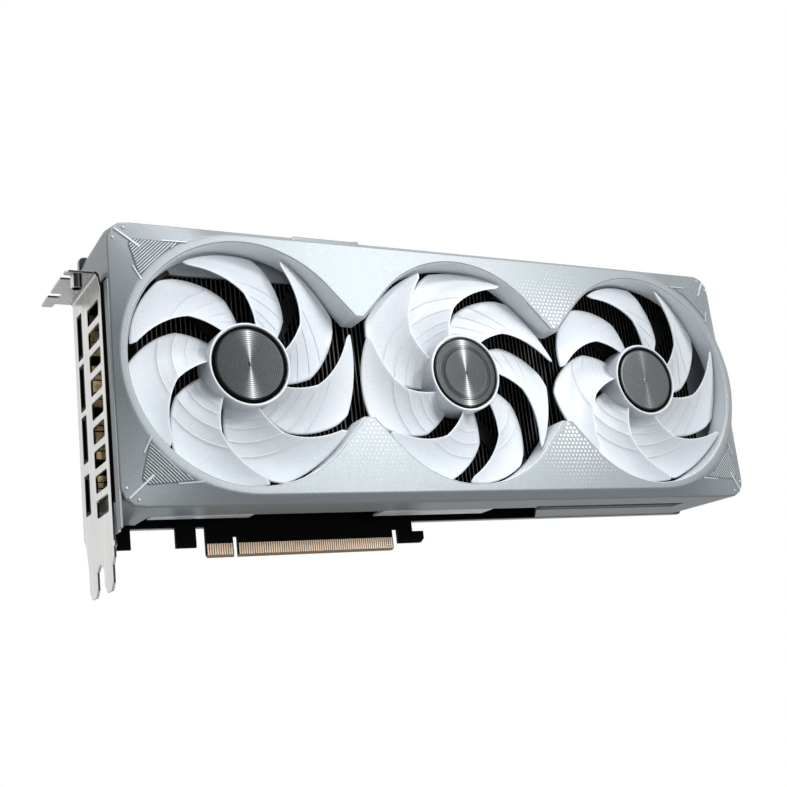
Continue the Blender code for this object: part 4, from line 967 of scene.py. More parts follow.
def makeDots():
    look = dotLook
    y = card["deckY"]
    bottom, top = look["span"]
    rowPitch = look["pitch"] * look["rowShare"]
    bm = bmesh.new()
    opening = openingLoop(look["margin"])
    total = 0
    for patch in look["patches"]:
        tipX, tipZ = patch["tip"]
        rows = int(patch["reach"] / rowPitch) + 1
        for row in range(-rows, rows + 1):
            for column in range(-rows, rows + 1):
                x = tipX + (column + 0.5 * (row % 2)) * look["pitch"]
                z = tipZ + row * rowPitch
                share = math.hypot(x - tipX, (z - tipZ) * look["flatten"]) / patch["reach"]
                size = min(patch["size"] * (look["fade"] - share), patch["size"])
                if size < look["smallest"] or not bottom <= z <= top or insideLoop((x, z), opening):
                    continue
                shoulder = (size, look["height"] * look["shoulder"])
                levels = ((size, -look["sink"]), shoulder, (size * look["topShare"], look["height"]))
                skin(bm, [ringAt(bm, circle((x, z), radius, 8), 1, y - lift) for radius, lift in levels])
                total += 1
    leanMesh(newPiece("webDots", bm, ["dotWhite"], "card", sharp=60).data)
    print("web dots made,", total)


makeDots()

lipLook = {
    "span": (-21.0, 9.5),
    "depth": (-44.2, -39.5),
    "point": 5.0,
    "nose": 2.0,
    "corner": 0.5,
    "height": 1.1,
    "sink": 0.6,
    "bevel": (0.35, 0.3),  # across and down
}


# height of the moulding's top edge between the end fans
def topHeight(x, y):
    look = shroudLook
    share = (x - card["fanXs"][0]) / (card["fanXs"][-1] - card["fanXs"][0])
    heights = [look["deckTop"][0] + (look["deckTop"][1] - look["deckTop"][0]) * share]
    heights += [outline["z"][1] for outline in look["outlines"]]
    levels = [card["deckY"], card["deckY"] + look["creaseDepth"], look["middleY"], card["backY"]]
    return float(np.interp(y, levels, heights))


# a low raised pad along the top edge, pointed at its bracket end
def makeTopLip():
    look = lipLook
    left, right = look["span"]
    front, back = look["depth"]
    corners = [(left, front), (right, front), (right + look["nose"], (front + back) / 2)]
    outline = roundLoop(corners + [(right, back), (left + look["point"], back)], look["corner"], 2)
    bm = bmesh.new()
    rings = []
    (bevel, drop), top = look["bevel"], look["height"]
    for lift, inset in ((-look["sink"], 0.0), (top - drop, 0.0), (top, bevel)):
        spots = insetLoop(outline, inset)
        rings.append([bm.verts.new((x, y, topHeight(x, y) + lift)) for x, y in spots])
    skin(bm, rings)
    leanMesh(newPiece("topLip", bm, ["silverMoulding"], "card").data)


makeTopLip()
print("inserts and trim made")

fanLook = {
    "blades": 7,
    "phases": (53.4, 24.4, 55.4),
    "hands": (1, -1, 1),
    "rootRadius": 16.2,
    "tipRadius": 47.6,
    "thickness": 1.4,
    "front": -42.2,
    "depth": 10.4,
    "camber": 0.7,
    "rake": 2.0,  # the tips lean this far towards the front
    "rootWidth": 39.5,
    "tipWidth": 46.0,
    "sweepInner": 1.15,
    "sweepOuter": 2.0,
    "sweepChange": 30.0,
    "phaseRadius": 37.6,
    "ridges": (20.6, 24.2, 29.4, 35.0),  # raised lines across each blade
    "ridgeHeight": 0.34,
    "ridgeHalf": 0.4,
    "ridgeFlat": 0.4,  # share of the line's half width that is level
    "ridgeFade": (0.8, 1.5),  # the lines start this far from a blade's edge, and grow over this length
    "chord": 22,  # faces across a blade
    "stations": 18,
    "stationPitch": 1.7,
    "tipGap": 1.0,
    "tipStations": (0.7, 0.4, 0.18, 0.05, 0.0),  # in from the tip
    "edge": 1.0,  # rounding of the blade's long edges
    "tipEdge": 0.7,
    "tipCorner": 3.2,
    "tipPull": (0.09, 0.15),  # shares of the width: first tip corner, then both together
}


def edgeTurn(radius):
    look = fanLook
    inner = min(radius, look["sweepChange"])
    return look["sweepInner"] * inner + look["sweepOuter"] * (radius - inner)


# radii of a blade's sections, closer together at its raised lines and at its tip
def bladeStations():
    look = fanLook
    half, flat = look["ridgeHalf"], look["ridgeHalf"] * look["ridgeFlat"]
    tip = look["tipRadius"]
    stations = [look["rootRadius"] + k * look["stationPitch"] for k in range(look["stations"])]
    for ridge in look["ridges"]:
        stations = [r for r in stations if abs(r - ridge) > 2 * half]
        stations += [ridge - half, ridge - flat, ridge + flat, ridge + half]
    stations = [r for r in stations if r < tip - look["tipGap"]]
    return sorted(stations) + [tip - inset for inset in look["tipStations"]]


def addBlade(bm, phase, hand):
    look = fanLook
    tip, root = look["tipRadius"], look["rootRadius"]
    half = look["thickness"] / 2
    middle, climb = look["front"] + half, look["depth"] - look["thickness"]
    flat = look["ridgeHalf"] * look["ridgeFlat"]
    fadeFrom, fadeOver = look["ridgeFade"]
    fronts, backs = [], []
    for radius in bladeStations():
        along = (radius - root) / (tip - root)
        width = look["rootWidth"] + (look["tipWidth"] - look["rootWidth"]) * along
        chordLength = math.radians(width) * radius
        rounding = clamp((radius - tip + look["tipEdge"]) / look["tipEdge"])
        tipShare = math.sqrt(max(0.0, 1 - rounding * rounding))
        pull = (max(0.0, radius - tip + look["tipCorner"]) / look["tipCorner"]) ** 2
        offLine = min(abs(radius - line) for line in look["ridges"])
        slope = look["ridgeHalf"] * (1 - look["ridgeFlat"])
        ridge = max(0.0, 1 - max(0.0, offLine - flat) / slope) * look["ridgeHeight"]
        rake = look["rake"] * along * along
        front, back = [], []
        for k in range(look["chord"] + 1):
            share = 0.5 - 0.5 * math.cos(math.pi * k / look["chord"])
            fromEdge = min(share, 1 - share) * chordLength
            edgeShare = max(0.0, 1 - fromEdge / look["edge"])
            thick = half * math.sqrt(max(0.0, 1 - edgeShare * edgeShare)) * tipShare
            share = look["tipPull"][0] * pull + share * (1 - look["tipPull"][1] * pull)
            turn = edgeTurn(radius) - edgeTurn(look["phaseRadius"]) - share * width
            angle = math.radians(phase + hand * turn)
            rise = share * (1 + look["camber"] - look["camber"] * share)
            y = middle + climb * rise - rake
            x, z = radius * math.cos(angle), radius * math.sin(angle)
            lift = ridge * clamp((fromEdge - fadeFrom) / fadeOver)
            if thick < 1e-6:
                vert = bm.verts.new((x, y, z))
                front.append(vert)
                back.append(vert)
            else:
                front.append(bm.verts.new((x, y - thick - lift, z)))
                back.append(bm.verts.new((x, y + thick, z)))
        fronts.append(front)
        backs.append(back)
    for rows in (fronts, backs):
        for first, second in zip(rows, rows[1:]):
            for k in range(look["chord"]):
                bm.faces.new((first[k], first[k + 1], second[k + 1], second[k]))
    bm.faces.new(fronts[0] + backs[0][-2:0:-1])  # closes the root inside the hub


# hub cup: rounded front rim, recess for the disc, front plate, shaft boss and skirt
hubProfile = (
    (1.5, -41.6), (0, -41.6), (0, -42.4), (15.9, -42.4), (15.9, -43.25), (16.05, -43.5),
    (16.3, -43.6), (16.55, -43.56), (16.8, -43.35), (16.95, -43.0), (17.0, -42.5), (17.0, -30.7),
    (16.7, -30.4), (15.4, -30.4), (15.4, -40.8), (3.3, -40.8), (3.3, -37.6), (1.5, -37.6),
)


def fanCentre(number):
    return (card["fanXs"][number - 1], 0, card["fanZ"])


def makeRotor(number):
    look = fanLook
    bm = bmesh.new()
    addTurned(bm, hubProfile, 96)
    for i in range(look["blades"]):
        addBlade(bm, look["phases"][number - 1] + 360 * i / look["blades"], look["hands"][number - 1])
    evenNormals(newPiece(
        f"fanBlades{number}", bm, ["fanWhite"], f"fan_{number}", [f"fan_rotor_{number}"],
        fanCentre(number), 50,
    ))


discLook = {
    "ring": (14.25, 15.1, 14.25),  # radius of each fan's metal disc; the rest out to the cap's edge is black
    "finish": ("turnedMetal", "turnedMetal", "turnedTailPaintedLight"),  # the tail's disc is a brighter copy of the turned metal, as painted light
    "grooves": 22,
    "grooveDepth": 0.07,
    "front": -43.55,
    "back": -42.7,
    "edge": 15.6,
    "middleRings": (10.9, 11.7),  # the raised double ring of the middle disc
    "middleRing": (0.3, 0.15, 0.05),  # half its width at the foot and at the top, and its height
    "firstGroove": 0.8,
    "rim": 0.4,  # plain metal outside the last groove
    "bevel": 0.25,
    "steps": 96,
}


def makeDisc(number):
    look = discLook
    ring = look["ring"][number - 1]
    front = look["front"]
    profile = [(0, front)]
    pitch = (ring - look["firstGroove"] - look["rim"]) / look["grooves"]
    for k in range(look["grooves"]):
        r = look["firstGroove"] + pitch * k
        profile += [(r, front), (r + pitch * 0.5, front + look["grooveDepth"])]
    if number == 2:
        foot, crown, height = look["middleRing"]
        for r in look["middleRings"]:
            profile = [p for p in profile if abs(p[0] - r) > foot + 0.05]
            profile += [(r - foot, front), (r - crown, front - height)]
            profile += [(r + crown, front - height), (r + foot, front)]
        profile.sort()
    bevel = look["bevel"]
    profile += [(ring - bevel, front), (ring, front + bevel)]
    metal = len(profile)
    edge, back = look["edge"], look["back"]
    profile += [(ring + 0.05, front + 0.3), (edge - bevel, front + bevel), (edge, front + 0.45)]
    profile += [(edge, back), (0, back)]
    indexes = [0 if i < metal else 1 for i in range(len(profile))]
    bm = bmesh.new()
    addTurned(bm, profile, look["steps"], indexes=indexes)
    newPiece(
        f"hubDisc{number}", bm, (look["finish"][number - 1], "hubBlack"), f"fan_{number}",
        [f"hub_cap_{number}"], fanCentre(number), 60,
    )


for number in (1, 2, 3):
    makeRotor(number)
    makeDisc(number)
print("fans made")

bracketLook = {
    "front": -35.4,
    "back": 3.8,
    "foldZ": 105.2,
    "tipZ": -14.8,
    "bend": 1.0,  # inside radius of the fold
    "holeCorner": 1.3,
    "vents": 9,
    "ventPitch": 9.4,
    "ventHeight": 6.6,
    "ventTop": 95.5,
    "ventSpan": (-32.0, -16.3),
    "tabOuter": -108.675,
    "notch": (4.4, 4.6),
    "slotPitch": 20.32,
    "boss": (-103.9, -29.3, 2.3, 5.6),  # X, Y, radius and length of the sleeve under the tab
    "sheet": 1.0,
    "edge": 0.15,
    "legHalf": 5.5,
    "legShift": -1.4,
    "legRoot": -3.3,
    "legCorner": 2.75,
    "shoulder": (3.0, 98.2),  # the slanted corner under the fold
    "catch": ((0.0, 2.6), (-1.4, 2.2), (-1.4, 0.4), (0.0, 0.0)),  # small catch on the front edge
    "backCorner": 9.0,
    "tabFront": 3.5,
    "tabCorner": 1.5,
    "tabEar": 4.0,
    "rounding": (0.7, 0.8, 0.8),  # of the plate's corners, the tab's and the port windows'
    "foldInset": (3.25, 0.02),  # the fold stops this far inside the plate's front and back
    "bossWall": 0.55,
    "bossEdge": 0.12,
    "bossSink": 0.1,
}
socketSpans = tuple((-7.5, -1.1, *zs) for zs in ((80.0, 97.5), (59.1, 76.6), (38.3, 55.8), (17.8, 32.5)))


windowLook = {"front": 0.9, "back": 0.1, "ends": 0.5}


# a port's window in the bracket, a little larger than the socket behind it
def portWindow(front, back, bottom, top):
    look = windowLook
    return (front - look["front"], bottom - look["ends"]), (back + look["back"], top + look["ends"])


def bracketPlateLoop():
    look = bracketLook
    front, back = look["front"], look["back"]
    fork = (front + back) / 2 + look["legShift"]
    tip, root, corner = look["tipZ"], look["legRoot"], look["legCorner"]
    top = look["foldZ"] - look["bend"]
    points = [(front + look["shoulder"][0], top), (front, look["shoulder"][1])]
    points += [(front + y, z) for y, z in look["catch"]]
    points += [(front, root)]
    for s in (-1, 1):
        middle = fork + s * look["slotPitch"] / 2
        low, high = middle - look["legHalf"], middle + look["legHalf"]
        points += [(low, root - corner), (low, tip + corner), (low + corner, tip)]
        points += [(high - corner, tip), (high, tip + corner)]
        points += [(high, root - corner), (fork, root)] if s < 0 else [(high, root)]
    rise = look["backCorner"]
    points += [(back - corner, rise - corner), (back, rise), (back, top)]
    return roundLoop(points, look["rounding"][0], 2)


def bracketTabLoop():
    look = bracketLook
    outer, back = look["tabOuter"], look["back"]
    width, depth = look["notch"]
    middle = (look["front"] + back) / 2
    root = card["bracketX"] - look["bend"]
    front = look["front"] + look["tabFront"]
    points = [(root, front), (outer + look["tabCorner"], front), (outer, front + look["tabCorner"])]
    for s in (-1, 1):
        low = middle + s * look["slotPitch"] / 2 - width / 2
        high = middle + s * look["slotPitch"] / 2 + width / 2
        points += [(outer, low), (outer + depth, low), (outer + depth, high), (outer, high)]
    ear = back + look["tabEar"]
    points += [(outer, ear), (outer + depth, ear), (outer + depth, back), (root, back)]
    return roundLoop(points, look["rounding"][1], 3)


def makeBracket():
    look = bracketLook
    outerX, innerX, edge = card["bracketX"], card["bracketInner"], look["edge"]
    holes = []
    for i in range(look["vents"]):
        top = look["ventTop"] - i * look["ventPitch"]
        low, high = (look["ventSpan"][0], top - look["ventHeight"]), (look["ventSpan"][1], top)
        holes.append(roundLoop(rectangle(low, high), look["holeCorner"], 4))
    for span in socketSpans:
        holes.append(roundLoop(rectangle(*portWindow(*span)), look["rounding"][2], 3))
    bm = bmesh.new()
    addSheet(bm, bracketPlateLoop(), holes, 0, outerX, innerX, edge)
    addSheet(bm, bracketTabLoop(), (), 2, look["foldZ"], look["foldZ"] + look["sheet"], edge)
    # the fold itself, as a quarter turn
    centre = (outerX - look["bend"], look["foldZ"] - look["bend"])
    section = arc(centre, look["bend"], 0, math.pi / 2, 8)
    section += arc(centre, look["bend"] + look["sheet"], math.pi / 2, 0, 8)
    ends = (look["front"] + look["foldInset"][0], look["back"] - look["foldInset"][1])
    skin(bm, [ringAt(bm, section, 1, y) for y in ends])
    # sleeve pressed into the tab
    x, y, radius, length = look["boss"]
    loops = [circle((x, y), r, 32) for r in (radius, radius - look["bossWall"])]
    low, high = look["foldZ"] - length, look["foldZ"] + look["bossSink"]
    addSheet(bm, loops[0], [loops[1]], 2, low, high, look["bossEdge"])
    piece = newPiece("slotBracket", bm, ["bracketSteel"], "card", ["io_bracket"], sharp=40)
    evenNormals(piece)


makeBracket()

socketLook = {
    "wall": 0.6,
    "edge": 0.15,
    "shadeLining": 0.35,
    "shadeLiningEdge": 0.05,
    "lip": 0.12,  # the dark lining, painted shade, starts this far behind the bracket's outside
    "nose": -95.675,
    "depth": 17.0,
    "stop": 4.0,  # the dark wall inside, painted shade, starts this far before the shell's end
    "tongue": 1.3,
    "tongueInset": 2.2,
    "tongueBack": 3.0,
    "tongueEdge": 0.25,
    "clip": (3.4, 1.6),  # length and width of a pressed clip
    "clipStart": 2.4,
    "clipProud": 0.25,
    "clipShares": (0.28, 0.72),
    "cutSpan": (2.0, 8.0),  # the dark cuts beside each clip
    "cutGap": 0.45,
    "cutHalf": 0.25,
    "cutProud": 0.03,
    "seam": (10.5, 11.0),
    "seamInset": 1.2,
    "sink": 0.1,
}


# the four walls of a square tube along X; the inside is given by its own corners
def addTube(bm, ends, outer, inner, edge, index=0):
    (y0, z0), (y1, z1) = outer
    (insideY0, insideZ0), (insideY1, insideZ1) = inner
    spans = ((y0, insideY0, z0, z1), (insideY1, y1, z0, z1), (y0, y1, z0, insideZ0), (y0, y1, insideZ1, z1))
    for front, back, bottom, top in spans:
        addBlock(bm, (ends[0], front, bottom), (ends[1], back, top), edge, index)


# a plated shell with pressed clips, a dark lining that paints the shade inside it, and the contact tongue
def makeVideoSocket(number, span):
    look = socketLook
    front, back, bottom, top = span
    nose, tail, wall, edge = look["nose"], look["nose"] + look["depth"], look["wall"], look["edge"]
    low, high = (front + wall, bottom + wall), (back - wall, top - wall)
    bm = bmesh.new()
    addTube(bm, (nose, tail), ((front, bottom), (back, top)), (low, high), edge)
    addBlock(bm, (tail - wall, front, bottom), (tail, back, top), edge)
    # pressed clips on the face towards the fans, the cuts beside them and a seam
    length, width = look["clip"]
    start, foot = nose + look["clipStart"], front + look["sink"]
    cuts = []
    for share in look["clipShares"]:
        z = bottom + (top - bottom) * share
        clipLow = (start, front - look["clipProud"], z - width / 2)
        addBlock(bm, clipLow, (start + length, foot, z + width / 2), 0.1)
        for side in (-1, 1):
            slotZ = z + side * (width / 2 + look["cutGap"])
            cuts.append((look["cutSpan"], (slotZ - look["cutHalf"], slotZ + look["cutHalf"])))
    cuts.append((look["seam"], (bottom + look["seamInset"], top - look["seamInset"])))
    for xs, zs in cuts:
        addBlock(bm, (nose + xs[0], front - look["cutProud"], zs[0]), (nose + xs[1], foot, zs[1]), 0.02, 1)
    # dark lining, painted shade inside the port, that reaches through the bracket's hole, and the tongue
    lip, stop, thick, edge = card["bracketX"] + look["lip"], tail - wall, look["shadeLining"], look["shadeLiningEdge"]
    inner = ((low[0] + thick, low[1] + thick), (high[0] - thick, high[1] - thick))
    addTube(bm, (lip, nose), portWindow(*span), inner, edge, 1)
    addTube(bm, (nose, stop), (low, high), inner, edge, 1)
    addBlock(bm, (tail - look["stop"], *low), (stop + look["sink"], *high), edge, 1)
    middle, half, inset = (front + back) / 2, look["tongue"] / 2, look["tongueInset"]
    tongueLow = (nose + inset, middle - half, bottom + inset)
    tongueHigh = (tail - look["tongueBack"], middle + half, top - inset)
    addBlock(bm, tongueLow, tongueHigh, look["tongueEdge"], 1)
    looks = ("shellBrass", "portBlack")
    newPiece(f"videoSocket{number}", bm, looks, "card", [f"video_socket_{number}"])


for number, span in enumerate(socketSpans, 1):
    makeVideoSocket(number, span)

contactLook = {
    "tongues": ((-49.375, -37.725), (-35.825, 35.825)),  # X spans of the board's two tongues
    "boardHalf": 0.8,
    "pitch": 1.0,
    "width": 0.68,
    "z": (0.95, 5.5),
    "proud": 0.05,
    "margin": 0.65,
    "edge": 0.02,
}


def makeContacts():
    look = contactLook
    half, proud = look["width"] / 2, look["proud"]
    bottom, top = look["z"]
    bm = bmesh.new()
    for left, right in look["tongues"]:
        count = int((right - left - 2 * look["margin"]) / look["pitch"]) + 1
        start = (left + right - (count - 1) * look["pitch"]) / 2
        for i in range(count):
            x = start + i * look["pitch"]
            for y in (-look["boardHalf"], look["boardHalf"]):
                addBlock(bm, (x - half, y - proud, bottom), (x + half, y + proud, top), look["edge"])
    newPiece("edgeContacts", bm, ["contactCopper"], "card")


makeContacts()
print("bracket, sockets and contacts made")

powerLook = {
    "low": (68.025, -9.7, 106.0),
    "high": (88.025, -1.1, 120.0),
    "wall": 0.8,
    "floor": 2.5,
    "edge": 0.2,
    "columns": 6,
    "pin": 0.5,
    "pinZ": (1.5, 4.0),  # up from the bottom, and down from the top edge
    "ribHalf": (0.25, 0.3),
    "ribInset": 0.4,
    "ribZ": (1.0, 0.6),
    "ribEdge": 0.1,
    "latch": (7.5, 5.0, 2.5),  # in from the sides, then down from the top edge
    "latchProud": 0.25,
    "latchSink": 0.3,
    "latchEdge": 0.12,
}


def makePowerSocket():
    look = powerLook
    corner, farCorner = look["low"], look["high"]
    (x0, y0, z0), (x1, y1, z1) = corner, farCorner
    wall, edge = look["wall"], look["edge"]
    middle = (y0 + y1) / 2
    bm = bmesh.new()
    addBlock(bm, corner, (x1, y0 + wall, z1), edge)
    addBlock(bm, (x0, y1 - wall, z0), farCorner, edge)
    addBlock(bm, corner, (x0 + wall, y1, z1), edge)
    addBlock(bm, (x1 - wall, y0, z0), farCorner, edge)
    addBlock(bm, corner, (x1, y1, z0 + look["floor"]), edge)
    # ribs between the chambers, and a pin in each
    (across, along), inset = look["ribHalf"], look["ribInset"]
    low, high = z0 + look["ribZ"][0], z1 - look["ribZ"][1]
    addBlock(bm, (x0 + inset, middle - along, low), (x1 - inset, middle + along, high), look["ribEdge"])
    pitch = (x1 - x0 - 2 * wall) / look["columns"]
    for i in range(1, look["columns"]):
        x = x0 + wall + pitch * i
        addBlock(bm, (x - across, y0 + inset, low), (x + across, y1 - inset, high), look["ribEdge"])
    half, low, high = look["pin"], z0 + look["pinZ"][0], z1 - look["pinZ"][1]
    for i in range(look["columns"]):
        x = x0 + wall + pitch * (i + 0.5)
        for y in ((y0 + middle) / 2, (y1 + middle) / 2):
            addBlock(bm, (x - half, y - half, low), (x + half, y + half, high), edge, 1)
    side, high, low = look["latch"]
    latchLow = (x0 + side, y0 - look["latchProud"], z1 - high)
    addBlock(bm, latchLow, (x1 - side, y0 + look["latchSink"], z1 - low), look["latchEdge"])
    newPiece("powerSocket", bm, ("portBlack", "contactCopper"), "card", ["power_socket"])


makePowerSocket()

# flanges along the moulding's underside, given by two corners each, and the grille in the tail's slit
railLook = {
    "rails": (((-79.0, -24.2, 12.5), (-37.5, -18.6, 13.5)), ((20.0, -24.2, 12.5), (74.0, -14.4, 13.5))),
    "slit": ((96.2, -27.2), (181.1, -27.2), (181.1, -16.8), (102.0, -16.8)),  # plate behind the tail's slit
    "slitZ": (14.3, 15.2),
    "edges": (0.25, 0.1, 0.08),  # of the rails, the plate and the teeth
    "toothStart": 0.6,
    "toothSpare": 1.0,
    "toothPitch": 1.05,
    "toothHalf": 0.25,  # share of the pitch
    "toothY": (-20.6, -16.9),
    "toothZ": (13.1, 14.5),
}


def makeRails():
    look = railLook
    bm = bmesh.new()
    for corners in look["rails"]:
        addBlock(bm, *corners, look["edges"][0])
    newPiece("undersideRails", bm, ["silverInsert"], "card")
    bm = bmesh.new()
    addSheet(bm, look["slit"], (), 2, *look["slitZ"], look["edges"][1])
    left, right = look["slit"][3][0], look["slit"][2][0]
    pitch = look["toothPitch"]
    front, back = look["toothY"]
    low, high = look["toothZ"]
    half = pitch * look["toothHalf"]
    for i in range(int((right - left - look["toothSpare"]) / pitch)):
        x = left + look["toothStart"] + pitch * (i + 0.5)
        addBlock(bm, (x - half, front, low), (x + half, back, high), look["edges"][2], 1)
    newPiece("tailGrille", bm, ("darkPlastic", "silverMoulding"), "card")


makeRails()

# bars between the bracket and the moulding's end: a dark bar that paints the shade in the gap there, and a
# silver strip in front of it
endBars = {
    "bracketGapShade": {
        "corners": ((-95.85, -39.2, 17.0), (-92.6, -30.5, 101.5)), "edge": 0.3, "finish": "portBlack",
        "slot": "dark_plastic",
    },
    "endStrip": {
        "corners": ((-96.3, -42.8, 5.6), (-95.2, -38.6, 99.6)), "edge": 0.2, "finish": "silverMoulding",
        "slot": "brace",
    },
}
for name, look in endBars.items():
    bm = bmesh.new()
    addBlock(bm, *look["corners"], look["edge"])
    evenNormals(newPiece(name, bm, [look["finish"]], "card"))
print("power socket and rails made")

backLook = {
    "front": 3.4,
    "back": 5.1,
    "left": -93.975,
    "right": 205.325,
    "bottom": 12.5,
    "top": 126.5,
    "corner": 3.0,
    "slotSpan": (120.025, 196.325),
    "slotHeight": 11.0,
    "slots": 5,
    "slotPitch": 17.0,
    "slotCorner": 2.0,
    "screwHole": 3.1,
    "edge": 0.35,
    "post": 6.0,
    "postEdge": 0.3,
    "postFront": 1.1,
    "postSink": 0.3,
    "postXs": (-84.975, 9.025, 103.025),
    "postZs": (21.4, 109.0),
}
screwLook = {
    "centre": (25.6, 67.9),  # the four screws stand round this place
    "fromCentre": 26.0,  # along X and along Z
    "seat": 1.1,
    "head": 1.6,
    "headRadius": 2.8,
    "radius": 1.3,
    "front": -6.8,
    "socket": 1.25,
    "steps": 48,
}


def screwPlaces():
    (x, z), away = screwLook["centre"], screwLook["fromCentre"]
    return [(x + sx * away, z + sz * away) for sx in (-1, 1) for sz in (-1, 1)]


def makeBackplate():
    look = backLook
    corners = rectangle((look["left"], look["bottom"]), (look["right"], look["top"]))
    outer = roundLoop(corners, look["corner"], 6)
    (left, right), tall = look["slotSpan"], look["slotHeight"] / 2
    holes = []
    for i in range(look["slots"]):
        z = card["fanZ"] + (i - (look["slots"] - 1) / 2) * look["slotPitch"]
        holes.append(roundLoop(rectangle((left, z - tall), (right, z + tall)), look["slotCorner"], 4))
    holes += [circle(spot, look["screwHole"], 32) for spot in screwPlaces()]
    bm = bmesh.new()
    addSheet(bm, outer, holes, 1, look["front"], look["back"], look["edge"])
    half, foot, head = look["post"] / 2, look["postFront"], look["front"] + look["postSink"]
    for x in look["postXs"]:
        for z in look["postZs"]:
            addBlock(bm, (x - half, foot, z - half), (x + half, head, z + half), look["postEdge"])
    # dark film inside, bare silver outside and on the edges
    inside = look["front"] + 0.01
    for face in bm.faces:
        face.material_index = 0 if all(vert.co.y < inside for vert in face.verts) else 1
    looks = ("backplateBlack", "silverInsert")
    evenNormals(newPiece("backplateSheet", bm, looks, "card", ["backplate"], sharp=40))


makeBackplate()


def makeScrew(number, spot):
    look = screwLook
    radius, head, socket = look["radius"], look["headRadius"], look["socket"]
    front, seat, top = look["front"], look["seat"], look["seat"] + look["head"]
    profile = [
        (0, front), (radius - 0.3, front), (radius, front + 0.3), (radius, seat), (head - 0.1, seat),
        (head, seat + 0.15), (head, top - 0.4), (head - 0.35, top - 0.05), (head - 0.7, top), (socket, top),
        (socket - 0.05, top - 0.8), (0, top - 0.9),
    ]
    bm = bmesh.new()
    addTurned(bm, profile, look["steps"])
    replaced = [f"cooler_screw_{number}"]
    newPiece(f"coolerScrew{number}", bm, ["screwSteel"], "card", replaced, (spot[0], 0, spot[1]), 40)


for number, spot in enumerate(screwPlaces(), 1):
    makeScrew(number, spot)
print("backplate and screws made")

# finishes on the pieces whose shape stays as packed
keptFinishes = {
    "circuit_board": "boardBlack", "air_guide": "guideGreyPaintedLight", "bracket_brace": "braceSteel",
    "fin_stack_left": "finBlack", "fin_stack_middle": "finBlack", "fin_stack_tail": "finBlack",
    "cold_plate": "pipeCopper", "gpu_substrate": "substrateGreen", "gpu_die": "dieMirror",
}
numberedFinishes = {
    "motor_base": ("darkPlastic", 3), "fan_shaft": ("screwSteel", 3), "magnet_ring": ("magnetDark", 3),
    "fan_stator": ("windingCopper", 3), "heat_pipe": ("pipeCopper", 4), "memory_chip": ("chipBlack", 4),
    "choke": ("chokeGrey", 4),
}
for name, (finishName, count) in numberedFinishes.items():
    keptFinishes.update({f"{name}_{i + 1}": finishName for i in range(count)})
softenedNodes = {"bracket_brace": 0.25, "air_guide": 0.3, **{f"motor_base_{i}": 0.3 for i in (1, 2, 3)}}
for nodeName, finishName in keptFinishes.items():
    node = nodes[nodeName]
    node.data.materials.clear()
    node.data.materials.append(finishes[finishName])
    if nodeName in softenedNodes:
        softEdges(node, softenedNodes[nodeName])
print("kept pieces finished,", len(keptFinishes))

stageLook = {
    "floorZ": -0.26,
    "floorHalf": 1.0,
    "floorShift": 0.05,
    "corner": 0.3,
    "paper": {
        "dark": (222, 223, 224), "light": (226, 227, 228), "grain": 60, "rough": (0.7, 0.8), "bump": 0.02,
    },
}


def makeFloor():
    look = stageLook
    bm = bmesh.new()
    half = look["floorHalf"]
    spots = roundLoop(rectangle((-half, -half), (half, half)), look["corner"], 8)
    bm.faces.new([bm.verts.new((x + look["floorShift"], y, look["floorZ"])) for x, y in spots])
    mesh = bpy.data.meshes.new("studioFloor")
    bm.to_mesh(mesh)
    bm.free()
    mesh.materials.append(grainFinish("floorPaper", look["paper"]))
    floor = bpy.data.objects.new("studioFloor", mesh)
    scene.collection.objects.link(floor)


makeFloor()

worldLook = {"fill": 0.26, "seen": 1.0}


# white where the camera, a reflection or a clear piece looks, softer as fill light
def makeWorld():
    world = bpy.data.worlds.new("studioWorld")
    world.use_nodes = True
    world.node_tree.nodes.clear()
    path = addNode(world, "ShaderNodeLightPath").outputs
    seen = mathNode(world, "ADD", path["Is Camera Ray"], path["Is Glossy Ray"])
    seen.node.use_clamp = True
    seen = mathNode(world, "ADD", path["Is Transmission Ray"], seen)
    seen.node.use_clamp = True
    lights = []
    for strength in worldLook.values():
        light = addNode(world, "ShaderNodeBackground", Strength=strength, Color=(1.0, 1.0, 1.0, 1.0))
        lights.append(light.outputs[0])
    mix = addNode(world, "ShaderNodeMixShader", Fac=seen)
    plug(world, lights[0], mix.inputs[1])
    plug(world, lights[1], mix.inputs[2])
    addNode(world, "ShaderNodeOutputWorld", Surface=mix.outputs[0])
    scene.world = world


makeWorld()

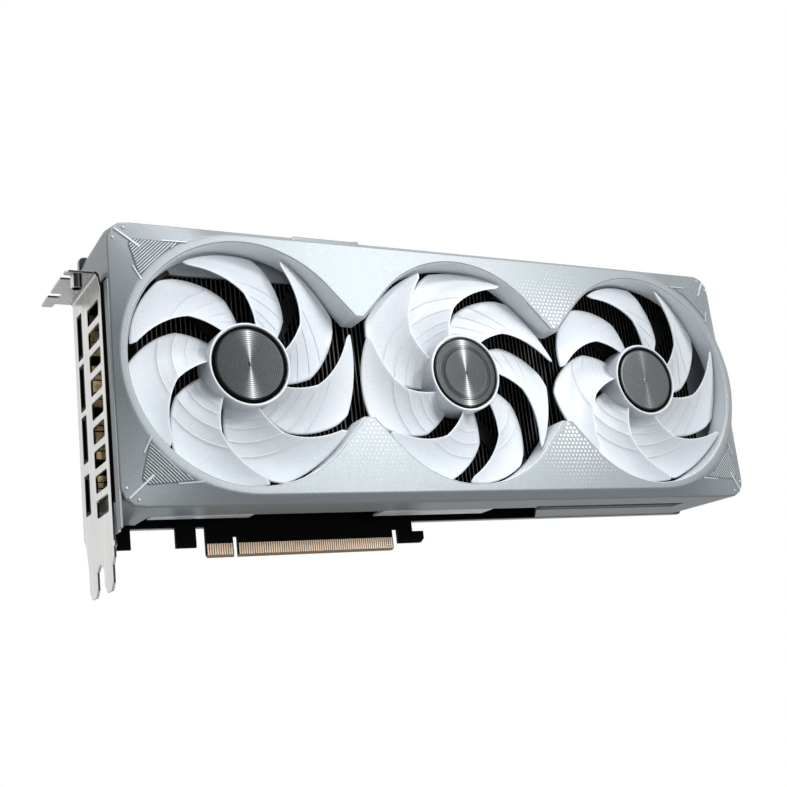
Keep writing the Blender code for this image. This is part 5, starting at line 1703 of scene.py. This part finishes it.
# softboxes: place, target and size in metres, power in watts, spread in degrees
lampLook = {
    "keySoftbox": {
        "at": (0.55, -0.99, 0.44), "target": (0.04, -0.04, 0.07),
        "size": (0.28, 0.56), "power": 2.52, "spread": 100,
    },
    "topSoftbox": {
        "at": (0.02, -0.30, 0.75), "target": (0.04, -0.03, 0.10),
        "size": (0.5, 0.5), "power": 0.8, "spread": 80,
    },
    "middleSoftbox": {
        "at": (0.0, -0.70, 0.50), "target": (0.03, -0.04, 0.085),
        "size": (0.08, 0.08), "power": 0.035, "spread": 22,
    },
    "lowSoftbox": {
        "at": (0.05, -1.0, -0.12), "target": (0.0, 0.0, 0.03),
        "size": (0.7, 0.2), "power": 0.3, "spread": 90,
    },
}


def makeLamps():
    for name, look in lampLook.items():
        lamp = bpy.data.lights.new(name, "AREA")
        lamp.shape = "RECTANGLE"
        lamp.size, lamp.size_y = look["size"]
        lamp.energy = look["power"]
        lamp.spread = math.radians(look["spread"])
        holder = bpy.data.objects.new(name, lamp)
        holder.location = look["at"]
        aim = Vector(look["target"]) - Vector(look["at"])
        holder.rotation_euler = aim.to_track_quat("-Z", "Y").to_euler()
        scene.collection.objects.link(holder)


makeLamps()

cameraLook = {
    "at": (-0.2222, -0.4642, -0.0684),
    "forward": (0.4828, 0.8389, 0.2514),
    "right": (0.8754, -0.4705, -0.1113),
    "lens": 56.16,
    "sensor": 36.0,
    "nearest": 0.01,
}


def makeCamera():
    look = cameraLook
    ahead = Vector(look["forward"]).normalized()
    right = Vector(look["right"]).normalized()
    up = right.cross(ahead).normalized()
    right = ahead.cross(up).normalized()
    lens = bpy.data.cameras.new("studioCamera")
    lens.lens = look["lens"]
    lens.sensor_width = look["sensor"]
    lens.clip_start = look["nearest"]
    camera = bpy.data.objects.new("studioCamera", lens)
    turn = camera.matrix_world.copy()
    for row in range(3):
        turn[row][0], turn[row][1], turn[row][2] = right[row], up[row], -ahead[row]
        turn[row][3] = look["at"][row]
    camera.matrix_world = turn
    scene.collection.objects.link(camera)
    scene.camera = camera


makeCamera()
scene.view_settings.view_transform = "Standard"
print("stage made")
